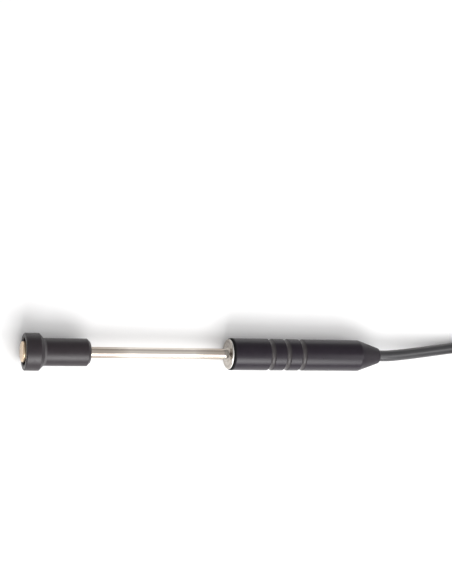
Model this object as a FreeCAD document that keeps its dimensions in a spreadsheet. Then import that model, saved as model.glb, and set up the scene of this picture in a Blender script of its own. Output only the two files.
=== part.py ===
import FreeCAD, Part
import math
import os
import re
import Sketcher

# A contact temperature probe: a black moulded head with a sprung copper contact, a steel tube that
# carries the leads, a turned metal nose, a grooved black handle, and its cable folded into a hank.
# Everything is in millimetres. Each piece of the probe is drawn along one axis, +X from the head's
# front face to the cable's exit, and one placement then lays the probe on the floor.

doc = FreeCAD.newDocument("temperature_probe")

# Driving sizes

SIZES = [
    ("head_to_nose", 70.0, "head's front face to the nose's front face"),
    ("sleeve_length", 57.0, "black handle sleeve, end to end"),
    ("handle_dia", 11.0, "handle sleeve"),
    # head
    ("head_length", 21.6, "moulded head, end to end"),
    ("collar_dia", 12.3, "wide collar at the head's front"),
    ("collar_length", 4.8, "straight part of the collar"),
    ("collar_cone", 1.4, "slope from the collar down to the body"),
    ("head_body_dia", 9.1, "head behind the collar"),
    ("head_root_round", 0.8, "hollow corner between the slope and the body"),
    ("head_tail_bevel", 1.0, "bevel at the head's rear end"),
    ("rim_bevel", 0.3, "bevels of the front rim"),
    ("cavity_dia", 9.0, "open mouth round the contact"),
    ("cavity_depth", 3.4, "front face to the seat of the stop ring"),
    ("chamber_dia", 6.4, "spring chamber"),
    ("chamber_floor", 1.5, "wall between the spring chamber and the tube's ferrule"),
    ("tail_wall", 2.1, "wall behind the tube's ferrule"),
    # contact, which slides in the head
    ("contact_dia", 6.8, "copper contact"),
    ("contact_thick", 1.3, "rim of the copper contact"),
    ("contact_stand", 0.8, "how far the contact stands out, which is its travel"),
    ("contact_edge", 0.45, "rounded front edge of the contact"),
    ("contact_boss_dia", 3.2, "boss behind the contact"),
    ("contact_boss_length", 1.5, "boss behind the contact"),
    ("neck_dia", 4.6, "carrier's neck, through the stop ring"),
    ("carrier_flange", 1.0, "carrier's flange, which the spring pushes"),
    ("carrier_spigot_dia", 4.1, "carrier's tail, inside the spring"),
    ("carrier_spigot_length", 3.6, "carrier's tail, behind the flange"),
    ("sensor_length", 1.5, "sensing element behind the boss"),
    ("stop_ring_thick", 0.8, "ring that keeps the carrier in"),
    ("spring_mean_dia", 5.4, "contact spring, middle of its wire"),
    ("spring_wire", 0.45, "contact spring's square wire"),
    ("spring_turns", 5.0, "contact spring's turns"),
    # tube
    ("tube_dia", 3.7, "steel tube, outside"),
    ("tube_wall", 0.35, "steel tube"),
    ("ferrule_dia", 5.6, "ferrule moulded into the head"),
    ("ferrule_length", 5.0, "ferrule moulded into the head"),
    ("ferrule_waist", 0.4, "depth of the ferrule's waist"),
    # nose
    ("boss_length", 1.4, "flared boss in front of the flange"),
    ("boss_tip_dia", 4.0, "front of the boss"),
    ("boss_root_dia", 5.9, "boss where it meets the flange"),
    ("boss_flare", 1.6, "radius of the boss's hollow side"),
    ("flange_dia", 10.2, "nose flange"),
    ("flange_thick", 0.6, "nose flange"),
    ("flange_edge", 0.35, "rounded front edge of the flange"),
    ("spigot_dia", 8.6, "nose's spigot inside the sleeve"),
    ("spigot_length", 10.0, "nose's spigot inside the sleeve"),
    ("seal_start", 2.4, "flange's rear face to the seal's groove"),
    ("seal_section", 0.8, "sealing ring's section"),
    # sleeve
    ("cone_length", 8.4, "tapered rear of the sleeve"),
    ("cone_tip_dia", 5.7, "rear end of the taper"),
    ("tip_round", 0.4, "rounded rear edge"),
    ("front_bevel", 0.4, "bevel of the sleeve's front edge"),
    ("cavity_bore", 7.6, "hollow of the sleeve"),
    ("exit_length", 10.6, "narrow bore that the cable leaves through"),
    ("first_groove", 14.6, "sleeve's front to the middle of the first groove"),
    ("groove_pitch", 5.8, "groove to groove"),
    ("groove_count", 3.0, "grip grooves"),
    ("groove_width", 1.9, "grip groove at the surface"),
    ("groove_depth", 0.5, "grip groove"),
    # wiring
    ("lead_dia", 0.8, "insulated lead in the tube"),
    ("lead_offset", 0.95, "middle of each lead from the axis"),
    ("core_dia", 1.0, "insulated core of the cable"),
    ("splice_gap", 5.4, "tube's rear end to the splices"),
    ("splice_length", 6.0, "crimped splice"),
    ("splice_dia", 1.6, "crimped splice"),
    ("splice_grip", 2.5, "how far a wire goes into a splice"),
    ("shrink_wall", 0.1, "shrunk sleeve over a splice"),
    ("shrink_over", 2.0, "how far the shrunk sleeve passes the splice"),
    ("clamp_length", 5.0, "crimped clamp on the cable"),
    ("clamp_across", 6.4, "crimped clamp, across its flats"),
    ("jacket_lead_in", 4.0, "cable's jacket in front of the clamp"),
    # cable and what is on it
    ("cable_dia", 4.0, "cable"),
    ("fold_radius", 12.0, "inner fold of the hank, at the cable's middle"),
    ("hank_half_run", 30.0, "middle of the hank to the middle of a fold"),
    ("hank_gap", 38.0, "cable's exit to the near end of the hank"),
    ("hank_side", 10.0, "probe's axis to the hank's axis, sideways"),
    ("tie_width", 8.0, "strap round the hank"),
    ("tie_thick", 0.9, "strap round the hank"),
    ("boot_start", 14.0, "middle of the hank to the plug's boot"),
    ("boot_length", 8.0, "plug's boot"),
    ("boot_root_dia", 6.8, "boot where it meets the plug"),
    ("boot_tip_dia", 5.4, "boot where the cable enters"),
    ("plug_length", 19.0, "plug's shell"),
    ("plug_width", 16.3, "plug's shell"),
    ("plug_thick", 8.0, "plug's shell, both halves"),
    ("plug_corner", 2.0, "plug's rounded corners"),
    ("plug_edge", 0.5, "plug's bevelled edges"),
    ("blade_pitch", 7.9, "blade to blade"),
    ("blade_thick", 0.8, "plug's blades"),
    ("blade_out", 12.5, "how far the blades stand out"),
    ("blade_in", 9.0, "blades inside the shell"),
    ("wide_blade", 3.2, "wider blade"),
    ("narrow_blade", 2.4, "narrower blade"),
    ("hollow_wall", 2.0, "plug's rear wall, in front of its hollow"),
    ("hollow_depth", 2.2, "plug's hollow, into each half of the shell"),
    ("hollow_width", 6.4, "plug's hollow between the screws"),
    ("hollow_reach", 1.5, "how far the upper hollow passes the blades' rear ends"),
    ("cable_in_plug", 2.8, "how far the cable goes into the plug"),
    ("tail_gap", 0.02, "cable's cores to the blades that they are soldered on"),
    ("screw_dia", 2.0, "shell screws"),
    ("screw_head_dia", 3.6, "shell screws"),
    ("screw_head", 1.4, "shell screws"),
    ("screw_place", 5.5, "shell's rear end to the screws"),
    ("screw_pitch", 9.6, "screw to screw"),
    # clearances
    ("fit_clear", 0.03, "between pieces that fit tightly, each side"),
    ("slide_clear", 0.08, "between pieces that slide, each side"),
    ("ring_clear", 0.1, "stop ring's bore to the carrier's neck, each side"),
    ("stop_gap", 0.05, "carrier's flange to the stop ring at rest"),
    ("lead_clear", 0.1, "leads to what slides over them"),
    ("cable_clear", 0.15, "cable to the sleeve's exit bore, each side"),
    ("recess_clear", 0.15, "screw head to its recess, each side"),
    ("floor_gap", 0.05, "under the cable where it lies on the floor"),
]

sheet = doc.addObject("Spreadsheet::Sheet", "Sizes")
for row, (alias, value, meaning) in enumerate(SIZES, start=1):
    sheet.set(f"A{row}", alias)
    sheet.set(f"B{row}", str(value))
    sheet.set(f"C{row}", meaning)
    sheet.setAlias(f"B{row}", alias)
doc.recompute()

ALIASES = {alias for alias, _, _ in SIZES}


def bound(formula):
    """The formula as another object's expression, with each size named as a cell of the sheet."""
    return re.sub(r"[a-z_]+", lambda found: "Sizes." + found[0] if found[0] in ALIASES else found[0], formula)


def number(formula):
    """The formula's value in millimetres."""
    return float(sheet.evalExpression(formula))


# Places along the probe's axis, from the head's front face

CONTACT_FRONT = "(0 - contact_stand)"
CONTACT_BACK = "(contact_thick - contact_stand)"
BOSS_BACK = f"({CONTACT_BACK} + contact_boss_length)"
SENSOR_BACK = f"({BOSS_BACK} + sensor_length)"
STOP_FRONT = "(cavity_depth - stop_ring_thick)"
FLANGE_FRONT = "(cavity_depth + stop_gap)"
FLANGE_BACK = f"({FLANGE_FRONT} + carrier_flange)"
CARRIER_BACK = f"({FLANGE_BACK} + carrier_spigot_length)"
FERRULE_BACK = "(head_length - tail_wall)"
FERRULE_FRONT = f"({FERRULE_BACK} - ferrule_length)"
CHAMBER_END = f"({FERRULE_FRONT} - chamber_floor)"
SLEEVE_FRONT = "(head_to_nose + flange_thick)"
SPIGOT_BACK = f"({SLEEVE_FRONT} + spigot_length)"
TAPER_START = f"({SLEEVE_FRONT} + sleeve_length - cone_length)"
EXIT_START = f"({SLEEVE_FRONT} + sleeve_length - exit_length)"
TAIL = f"({SLEEVE_FRONT} + sleeve_length)"
SPLICE_START = f"({SPIGOT_BACK} + splice_gap)"
JACKET_START = f"({EXIT_START} - clamp_length - jacket_lead_in)"

# Radii that more than one piece uses

LEAD_WAY = "(lead_offset + lead_dia / 2 + lead_clear)"
TUBE_BORE = "(tube_dia / 2 - tube_wall)"
FRONT_BORE = "(spigot_dia / 2 + fit_clear)"
EXIT_BORE = "(cable_dia / 2 + cable_clear)"

# The probe lies on the collar's rear edge and the end of the handle's straight part.

tilt = math.atan2(
    number("collar_dia / 2 - handle_dia / 2"),
    number(f"{TAPER_START} - collar_length"),
)
axis_height = number("collar_length") * math.sin(tilt) + number("collar_dia / 2") * math.cos(tilt)
middle = number(f"({CONTACT_FRONT} + {TAIL}) / 2")
rest = FreeCAD.Placement(
    FreeCAD.Vector(-middle * math.cos(tilt), 0, axis_height),
    FreeCAD.Rotation(FreeCAD.Vector(0, 1, 0), math.degrees(tilt)),
)


def on_axis(station):
    """The point of the laid-down probe's axis at a place along it."""
    return rest.multVec(FreeCAD.Vector(station, 0, 0))


# Drawing helpers

nodes = []


def new_piece(node, placement):
    body = doc.addObject("PartDesign::Body", node)
    body.Label = node
    body.Placement = placement
    nodes.append(body)
    return body


def plane_sketch(body, name, plane, offset):
    """An empty sketch on one of the body's own planes, moved along the plane's normal."""
    sketch = body.newObject("Sketcher::SketchObject", name)
    side = next(f for f in body.Origin.OriginFeatures if f.Role == plane)
    sketch.AttachmentSupport = (side, [""])
    sketch.MapMode = "FlatFace"
    sketch.setExpression("AttachmentOffset.Base.z", bound(offset))
    return sketch


def place_point(sketch, geometry, end, across, up):
    """Ties a point of the sketch to its two formulas."""
    for direction, formula in (("DistanceX", across), ("DistanceY", up)):
        value = number(formula)
        tie = sketch.addConstraint(Sketcher.Constraint(direction, -1, 1, geometry, end, value))
        sketch.setExpression(f"Constraints[{tie}]", bound(formula))


def arc_between(start, end, radius, bulge):
    """The short arc of that radius between two points, bulging left (1) or right (-1) of the way."""
    chord = end - start
    left = FreeCAD.Vector(-chord.y, chord.x, 0).normalize()
    centre = (start + end) / 2 - left * bulge * math.sqrt(radius**2 - (chord.Length / 2) ** 2)
    turning_from, turning_to = (start, end) if bulge < 0 else (end, start)
    first_angle = math.atan2(turning_from.y - centre.y, turning_from.x - centre.x)
    last_angle = math.atan2(turning_to.y - centre.y, turning_to.x - centre.x)
    if last_angle < first_angle:
        last_angle += 2 * math.pi
    circle = Part.Circle(centre, FreeCAD.Vector(0, 0, 1), radius)
    return Part.ArcOfCircle(circle, first_angle, last_angle)


def closed_outline(sketch, points, arcs=None):
    """A closed outline through the points. arcs gives, for a side's number, its radius and bulge."""
    arcs = arcs or {}
    corners = [FreeCAD.Vector(number(across), number(up), 0) for across, up in points]
    starts = []
    ends = []
    for i, start in enumerate(corners):
        end = corners[(i + 1) % len(corners)]
        if i in arcs:
            radius, bulge = arcs[i]
            side = sketch.addGeometry(arc_between(start, end, number(radius), bulge), False)
            starts.append((side, 1 if bulge < 0 else 2))
            ends.append((side, 2 if bulge < 0 else 1))
        else:
            side = sketch.addGeometry(Part.LineSegment(start, end), False)
            starts.append((side, 1))
            ends.append((side, 2))
    for i, end in enumerate(ends):
        following = starts[(i + 1) % len(starts)]
        sketch.addConstraint(Sketcher.Constraint("Coincident", *end, *following))
    for (across, up), start in zip(points, starts):
        place_point(sketch, *start, across, up)
    for i, (radius, _) in arcs.items():
        tie = sketch.addConstraint(Sketcher.Constraint("Radius", starts[i][0], number(radius)))
        sketch.setExpression(f"Constraints[{tie}]", bound(radius))


def add_circle(sketch, across, up, radius):
    centre = FreeCAD.Vector(number(across), number(up), 0)
    ring = sketch.addGeometry(Part.Circle(centre, FreeCAD.Vector(0, 0, 1), number(radius)), False)
    place_point(sketch, ring, 3, across, up)
    tie = sketch.addConstraint(Sketcher.Constraint("Radius", ring, number(radius)))
    sketch.setExpression(f"Constraints[{tie}]", bound(radius))


def turned(node, section, arcs=None, placement=rest):
    """A turned piece: its half section, as places along the axis and radii, spun about the axis."""
    body = new_piece(node, placement)
    sketch = plane_sketch(body, node + "_section", "XY_Plane", "0")
    closed_outline(sketch, section, arcs)
    turning = body.newObject("PartDesign::Revolution", node + "_turning")
    turning.Profile = sketch
    turning.ReferenceAxis = (sketch, ["H_Axis"])
    turning.Angle = 360
    sketch.Visibility = False
    return body


def drawn_wire(node, start, length, aside, outer, inner=None, placement=rest):
    """A round wire or sleeve beside the axis, drawn along it."""
    body = new_piece(node, placement)
    sketch = plane_sketch(body, node + "_section", "YZ_Plane", start)
    add_circle(sketch, aside, "0", outer)
    if inner:
        add_circle(sketch, aside, "0", inner)
    pad = body.newObject("PartDesign::Pad", node + "_length")
    pad.Profile = sketch
    pad.setExpression("Length", bound(length))
    return body


def ring_edges(feature, rings):
    """The names of the feature's round edges at those places along the axis and radii."""
    doc.recompute()
    wanted = [(number(place), number(radius)) for place, radius in rings]
    found = []
    for index, edge in enumerate(feature.Shape.Edges, start=1):
        if isinstance(edge.Curve, Part.Circle):
            here = (edge.Curve.Center.x, edge.Curve.Radius)
            if any(math.dist(here, ring) < 1e-4 for ring in wanted):
                found.append(f"Edge{index}")
    return found


def dressed(body, kind, name, edges, size_name, formula):
    """A fillet or a chamfer on edges of the body's last feature."""
    base = body.Tip
    feature = body.newObject("PartDesign::" + kind, name)
    feature.Base = (base, edges)
    feature.setExpression(size_name, bound(formula))
    return feature


# Head

head = turned(
    "head_housing",
    [
        ("0", "cavity_dia / 2 + rim_bevel"),
        ("0", "collar_dia / 2 - rim_bevel"),
        ("rim_bevel", "collar_dia / 2"),
        ("collar_length", "collar_dia / 2"),
        ("collar_length + collar_cone", "head_body_dia / 2"),
        ("head_length - head_tail_bevel", "head_body_dia / 2"),
        ("head_length", "head_body_dia / 2 - head_tail_bevel"),
        ("head_length", "tube_dia / 2 + fit_clear"),
        (FERRULE_BACK, "tube_dia / 2 + fit_clear"),
        (FERRULE_BACK, "ferrule_dia / 2"),
        (FERRULE_FRONT, "ferrule_dia / 2"),
        (FERRULE_FRONT, LEAD_WAY),
        (CHAMBER_END, LEAD_WAY),
        (CHAMBER_END, "chamber_dia / 2"),
        ("cavity_depth", "chamber_dia / 2"),
        ("cavity_depth", "cavity_dia / 2"),
        ("rim_bevel", "cavity_dia / 2"),
    ],
)
dressed(
    head,
    "Fillet",
    "head_root",
    ring_edges(head.Tip, [("collar_length + collar_cone", "head_body_dia / 2")]),
    "Radius",
    "head_root_round",
)

turned(
    "stop_ring",
    [
        (STOP_FRONT, "neck_dia / 2 + ring_clear"),
        (STOP_FRONT, "cavity_dia / 2 - fit_clear"),
        ("cavity_depth", "cavity_dia / 2 - fit_clear"),
        ("cavity_depth", "neck_dia / 2 + ring_clear"),
    ],
)

# Sliding contact

contact = turned(
    "contact_disc",
    [
        (CONTACT_FRONT, "0"),
        (CONTACT_FRONT, "contact_dia / 2"),
        (CONTACT_BACK, "contact_dia / 2"),
        (CONTACT_BACK, "contact_boss_dia / 2"),
        (BOSS_BACK, "contact_boss_dia / 2"),
        (BOSS_BACK, "0"),
    ],
)
dressed(
    contact,
    "Fillet",
    "contact_edge",
    ring_edges(contact.Tip, [(CONTACT_FRONT, "contact_dia / 2")]),
    "Radius",
    "contact_edge",
)

turned(
    "contact_carrier",
    [
        (CONTACT_BACK, "contact_boss_dia / 2 + fit_clear"),
        (CONTACT_BACK, "neck_dia / 2"),
        (FLANGE_FRONT, "neck_dia / 2"),
        (FLANGE_FRONT, "chamber_dia / 2 - slide_clear"),
        (FLANGE_BACK, "chamber_dia / 2 - slide_clear"),
        (FLANGE_BACK, "carrier_spigot_dia / 2"),
        (CARRIER_BACK, "carrier_spigot_dia / 2"),
        (CARRIER_BACK, LEAD_WAY),
        (SENSOR_BACK, LEAD_WAY),
        (SENSOR_BACK, "contact_boss_dia / 2 + fit_clear"),
    ],
)

turned(
    "sensor_element",
    [
        (BOSS_BACK, "0"),
        (BOSS_BACK, "contact_boss_dia / 2"),
        (SENSOR_BACK, "contact_boss_dia / 2"),
        (SENSOR_BACK, "0"),
    ],
)

# Contact spring of square wire, wound round the carrier's tail between its flange and the chamber's floor

spring = new_piece("contact_spring", rest)
wire_section = plane_sketch(spring, "contact_spring_wire", "XY_Plane", "0")
wire_front = f"({FLANGE_BACK} + fit_clear)"
closed_outline(
    wire_section,
    [
        (wire_front, "spring_mean_dia / 2 - spring_wire / 2"),
        (wire_front, "spring_mean_dia / 2 + spring_wire / 2"),
        (f"{wire_front} + spring_wire", "spring_mean_dia / 2 + spring_wire / 2"),
        (f"{wire_front} + spring_wire", "spring_mean_dia / 2 - spring_wire / 2"),
    ],
)
winding = spring.newObject("PartDesign::AdditiveHelix", "contact_spring_winding")
winding.Profile = wire_section
winding.ReferenceAxis = (wire_section, ["H_Axis"])
winding.Mode = "height-turns-angle"
winding.setExpression("Height", bound(f"{CHAMBER_END} - {FLANGE_BACK} - spring_wire - 2 * fit_clear"))
winding.setExpression("Turns", bound("spring_turns"))
winding.Angle = 0
winding.Reversed = False

# Tube and its ferrule

turned(
    "probe_tube",
    [
        (FERRULE_FRONT, TUBE_BORE),
        (FERRULE_FRONT, "tube_dia / 2"),
        (SPIGOT_BACK, "tube_dia / 2"),
        (SPIGOT_BACK, TUBE_BORE),
    ],
)

turned(
    "tube_ferrule",
    [
        (FERRULE_FRONT, "tube_dia / 2 + fit_clear"),
        (FERRULE_FRONT, "ferrule_dia / 2 - fit_clear"),
        (f"{FERRULE_FRONT} + ferrule_length / 4", "ferrule_dia / 2 - fit_clear"),
        (f"{FERRULE_FRONT} + ferrule_length / 2", "ferrule_dia / 2 - fit_clear - ferrule_waist"),
        (f"{FERRULE_FRONT} + ferrule_length * 3 / 4", "ferrule_dia / 2 - fit_clear"),
        (FERRULE_BACK, "ferrule_dia / 2 - fit_clear"),
        (FERRULE_BACK, "tube_dia / 2 + fit_clear"),
    ],
)

# Nose

seal_groove_front = f"({SLEEVE_FRONT} + seal_start)"
seal_groove_back = f"({seal_groove_front} + seal_section + 2 * slide_clear)"
seal_floor = f"({FRONT_BORE} - seal_section - 2 * fit_clear)"
nose = turned(
    "handle_nose",
    [
        ("head_to_nose - boss_length", "tube_dia / 2 + fit_clear"),
        ("head_to_nose - boss_length", "boss_tip_dia / 2"),
        ("head_to_nose", "boss_root_dia / 2"),
        ("head_to_nose", "flange_dia / 2"),
        (SLEEVE_FRONT, "flange_dia / 2"),
        (SLEEVE_FRONT, "spigot_dia / 2"),
        (seal_groove_front, "spigot_dia / 2"),
        (seal_groove_front, seal_floor),
        (seal_groove_back, seal_floor),
        (seal_groove_back, "spigot_dia / 2"),
        (SPIGOT_BACK, "spigot_dia / 2"),
        (SPIGOT_BACK, "tube_dia / 2 + fit_clear"),
    ],
    arcs={1: ("boss_flare", -1)},
)
dressed(
    nose,
    "Fillet",
    "flange_rounding",
    ring_edges(nose.Tip, [("head_to_nose", "flange_dia / 2")]),
    "Radius",
    "flange_edge",
)

seal = new_piece("nose_seal", rest)
seal_sketch = plane_sketch(seal, "nose_seal_section", "XY_Plane", "0")
add_circle(
    seal_sketch,
    f"({seal_groove_front} + {seal_groove_back}) / 2",
    f"{FRONT_BORE} - fit_clear - seal_section / 2",
    "seal_section / 2",
)
seal_turning = seal.newObject("PartDesign::Revolution", "nose_seal_turning")
seal_turning.Profile = seal_sketch
seal_turning.ReferenceAxis = (seal_sketch, ["H_Axis"])
seal_turning.Angle = 360

# Handle sleeve with its grip grooves

sleeve = turned(
    "handle_sleeve",
    [
        (SLEEVE_FRONT, FRONT_BORE),
        (SLEEVE_FRONT, "handle_dia / 2 - front_bevel"),
        (f"{SLEEVE_FRONT} + front_bevel", "handle_dia / 2"),
        (TAPER_START, "handle_dia / 2"),
        (f"{TAIL} - tip_round", "cone_tip_dia / 2"),
        (TAIL, "cone_tip_dia / 2 - tip_round"),
        (TAIL, EXIT_BORE),
        (EXIT_START, EXIT_BORE),
        (EXIT_START, "cavity_bore / 2"),
        (f"{SPIGOT_BACK} + slide_clear", "cavity_bore / 2"),
        (f"{SPIGOT_BACK} + slide_clear", FRONT_BORE),
    ],
    arcs={4: ("tip_round", 1)},
)
groove_radius = "((groove_width ^ 2 / 4 + groove_depth ^ 2) / (2 * groove_depth))"
groove_sketch = plane_sketch(sleeve, "grip_groove_section", "XY_Plane", "0")
add_circle(
    groove_sketch,
    f"{SLEEVE_FRONT} + first_groove",
    f"handle_dia / 2 - groove_depth + {groove_radius}",
    groove_radius,
)
groove = sleeve.newObject("PartDesign::Groove", "grip_groove")
groove.Profile = groove_sketch
groove.ReferenceAxis = (groove_sketch, ["H_Axis"])
groove.Angle = 360
doc.recompute()
grooves = sleeve.newObject("PartDesign::LinearPattern", "grip_grooves")
grooves.Originals = [groove]
grooves.Direction = (groove_sketch, ["H_Axis"])
grooves.setExpression("Length", bound("groove_pitch * (groove_count - 1)"))
grooves.setExpression("Occurrences", bound("groove_count"))
sleeve.Tip = grooves

# Wiring: two leads from the sensing element to the splices, and the cable's two cores behind them

lead_start = f"({SENSOR_BACK} + contact_stand + lead_clear)"
lead_end = f"({SPLICE_START} + splice_grip)"
core_start = f"({SPLICE_START} + splice_length - splice_grip)"
shrink_bore = "(splice_dia / 2 + fit_clear)"
for side, sign in (("left", "1"), ("right", "-1")):
    aside = f"{sign} * lead_offset"
    drawn_wire(f"lead_wire_{side}", lead_start, f"{lead_end} - {lead_start}", aside, "lead_dia / 2")
    drawn_wire(
        f"splice_{side}",
        SPLICE_START,
        "splice_length",
        aside,
        "splice_dia / 2",
        "core_dia / 2 + fit_clear",
    )
    drawn_wire(
        f"shrink_sleeve_{side}",
        f"{SPLICE_START} - shrink_over",
        "splice_length + 2 * shrink_over",
        aside,
        f"{shrink_bore} + shrink_wall",
        shrink_bore,
    )
    drawn_wire(
        f"cable_core_{side}",
        core_start,
        f"{JACKET_START} - {core_start}",
        aside,
        "core_dia / 2",
    )

# Six-sided clamp crimped on the cable, which stops at the sleeve's inner shoulder

clamp = new_piece("cable_clamp", rest)
clamp_sketch = plane_sketch(clamp, "cable_clamp_section", "YZ_Plane", f"{EXIT_START} - clamp_length")
closed_outline(
    clamp_sketch,
    [
        (
            f"clamp_across / sqrt(3) * cos({60 * k} deg)",
            f"clamp_across / sqrt(3) * sin({60 * k} deg)",
        )
        for k in range(6)
    ],
)
add_circle(clamp_sketch, "0", "0", "cable_dia / 2 + fit_clear")
clamp_pad = clamp.newObject("PartDesign::Pad", "cable_clamp_length")
clamp_pad.Profile = clamp_sketch
clamp_pad.setExpression("Length", bound("clamp_length"))


# Cable, from the clamp out of the handle and down to the floor, where it joins the hank's outer turn

half_run = number("hank_half_run")
waist = number("2 * cable_dia")
fold = number("fold_radius + 1.5 * cable_dia")
hank_place = FreeCAD.Placement(
    FreeCAD.Vector(
        on_axis(number(TAIL)).x + number("hank_gap") + half_run + fold, -number("hank_side"), 0
    ),
    FreeCAD.Rotation(),
)
cable_radius = number("cable_dia / 2")
cable_rest = cable_radius + number("floor_gap")
CABLE_ROUTE = [
    on_axis(number(JACKET_START)),
    on_axis(number(JACKET_START) + 26),
    FreeCAD.Vector(97.5, 3.3, 2.2),
    hank_place.Base + FreeCAD.Vector(-half_run - 4, fold - cable_radius, cable_rest),
]


def rounded_path(points):
    """Straight runs joined by tangent arcs, each as large as its two runs allow, and the arcs' radii."""
    edges = []
    radii = []
    here = points[0]
    for before, corner, after in zip(points, points[1:], points[2:]):
        back = (before - corner).normalize()
        ahead = (after - corner).normalize()
        half_turn = (math.pi - back.getAngle(ahead)) / 2
        reach = 0.45 * min((before - corner).Length, (after - corner).Length)
        radius = reach / math.tan(half_turn)
        arc_start = corner + back * reach
        arc_end = corner + ahead * reach
        bisector = (back + ahead).normalize()
        apex = corner + bisector * (radius / math.cos(half_turn) - radius)
        edges.append(Part.LineSegment(here, arc_start).toShape())
        edges.append(Part.Arc(arc_start, apex, arc_end).toShape())
        radii.append(radius)
        here = arc_end
    edges.append(Part.LineSegment(here, points[-1]).toShape())
    return Part.Wire(edges), radii


cable_path, cable_radii = rounded_path(CABLE_ROUTE)
cable_section = Part.Wire(
    Part.makeCircle(cable_radius, CABLE_ROUTE[0], CABLE_ROUTE[1] - CABLE_ROUTE[0])
)
cable = doc.addObject("Part::Feature", "cable_lead")
cable.Shape = cable_path.makePipeShell([cable_section], True, False)
nodes.append(cable)
swept = math.pi * cable_radius**2 * cable_path.Length
print("cable arcs, radii in mm:", [round(r, 1) for r in cable_radii])
print("cable volume over section times length:", round(cable.Shape.Volume / swept, 5))

# Hank: the cable's stored length, wound in two layers and drawn in at the middle by a strap, with
# the last run on top, which leads to the plug. Its solid is drawn round its own middle, on the floor.

two_layers = number("2 * cable_dia")
three_layers = number("3 * cable_dia + tie_thick")
boot_start = number("boot_start")
plug_axis = number("2 * cable_dia + plug_thick / 2")
bend = (half_run**2 + (fold - waist) ** 2) / (4 * (fold - waist))
half_bend = math.asin(half_run / 2 / bend) / 2


def hank_outline():
    """The outline from above: round ends, and sides that draw in to the waist on equal arcs."""
    run = bend * math.sin(half_bend)
    rise = bend * (1 - math.cos(half_bend))
    side = [
        (0, waist),
        (run, waist + rise),
        (half_run / 2, (fold + waist) / 2),
        (half_run - run, fold - rise),
        (half_run, fold),
    ]
    far_left = [FreeCAD.Vector(x, y, 0) for x, y in side]
    far_right = [FreeCAD.Vector(x, -y, 0) for x, y in side]
    near_left = [FreeCAD.Vector(-x, y, 0) for x, y in side]
    near_right = [FreeCAD.Vector(-x, -y, 0) for x, y in side]
    arcs = [
        Part.Arc(near_left[2], far_left[0], far_left[2]),
        Part.Arc(far_left[2], far_left[3], far_left[4]),
        Part.Arc(far_left[4], FreeCAD.Vector(half_run + fold, 0, 0), far_right[4]),
        Part.Arc(far_right[4], far_right[3], far_right[2]),
        Part.Arc(far_right[2], far_right[0], near_right[2]),
        Part.Arc(near_right[2], near_right[3], near_right[4]),
        Part.Arc(near_right[4], FreeCAD.Vector(-half_run - fold, 0, 0), near_left[4]),
        Part.Arc(near_left[4], near_left[3], near_left[2]),
    ]
    return Part.Face(Part.Wire([arc.toShape() for arc in arcs]))


def last_run():
    """The cable's rise to the plug's height, and its end inside the boot."""
    ramp = Part.Face(
        Part.makePolygon(
            [
                FreeCAD.Vector(0, -cable_radius, three_layers - cable_radius),
                FreeCAD.Vector(boot_start, -cable_radius, three_layers - cable_radius),
                FreeCAD.Vector(boot_start, -cable_radius, plug_axis + cable_radius),
                FreeCAD.Vector(number("tie_width / 2"), -cable_radius, three_layers),
                FreeCAD.Vector(0, -cable_radius, three_layers),
                FreeCAD.Vector(0, -cable_radius, three_layers - cable_radius),
            ]
        )
    ).extrude(FreeCAD.Vector(0, 2 * cable_radius, 0))
    end = Part.makeCylinder(
        cable_radius,
        number("boot_length + cable_in_plug") + 1,
        FreeCAD.Vector(boot_start - 1, 0, plug_axis),
        FreeCAD.Vector(1, 0, 0),
    )
    return ramp.fuse(end)


# Strap round the hank's middle

tie = new_piece("hank_tie", hank_place)
tie_sketch = plane_sketch(tie, "hank_tie_section", "YZ_Plane", "0 - tie_width / 2")
for grow in ("tie_thick", "0 * tie_thick"):
    low = f"tie_thick - {grow}"
    high = f"3 * cable_dia + tie_thick + {grow}"
    closed_outline(
        tie_sketch,
        [
            (f"0 - 2 * cable_dia - {grow}", low),
            (f"2 * cable_dia + {grow}", low),
            (f"2 * cable_dia + {grow}", high),
            (f"0 - 2 * cable_dia - {grow}", high),
        ],
    )
tie_pad = tie.newObject("PartDesign::Pad", "hank_tie_width")
tie_pad.Profile = tie_sketch
tie_pad.setExpression("Length", bound("tie_width"))
doc.recompute()

near_side = Part.makeBox(
    half_run + fold + boot_start,
    2 * fold,
    three_layers,
    FreeCAD.Vector(-half_run - fold, -fold, 0),
)
wound = hank_outline().extrude(FreeCAD.Vector(0, 0, two_layers))
crossed = hank_outline().extrude(FreeCAD.Vector(0, 0, three_layers)).common(near_side)
strap = tie.Shape.copy()
strap.Placement = FreeCAD.Placement()
hank = doc.addObject("Part::Feature", "cable_hank")
hank.Shape = wound.fuse(crossed).fuse(last_run()).removeSplitter().cut(strap)
hank.Placement = hank_place
nodes.append(hank)

# Plug, lying on the hank's far half

PLUG_REAR = "(boot_start + boot_length)"
PLUG_MIDDLE = "(2 * cable_dia + plug_thick / 2)"
boot_place = hank_place.multiply(
    FreeCAD.Placement(FreeCAD.Vector(0, 0, plug_axis), FreeCAD.Rotation())
)
turned(
    "plug_boot",
    [
        ("boot_start", "cable_dia / 2 + fit_clear"),
        ("boot_start", "boot_tip_dia / 2"),
        (PLUG_REAR, "boot_root_dia / 2"),
        (PLUG_REAR, "cable_dia / 2 + fit_clear"),
    ],
    placement=boot_place,
)


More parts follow.
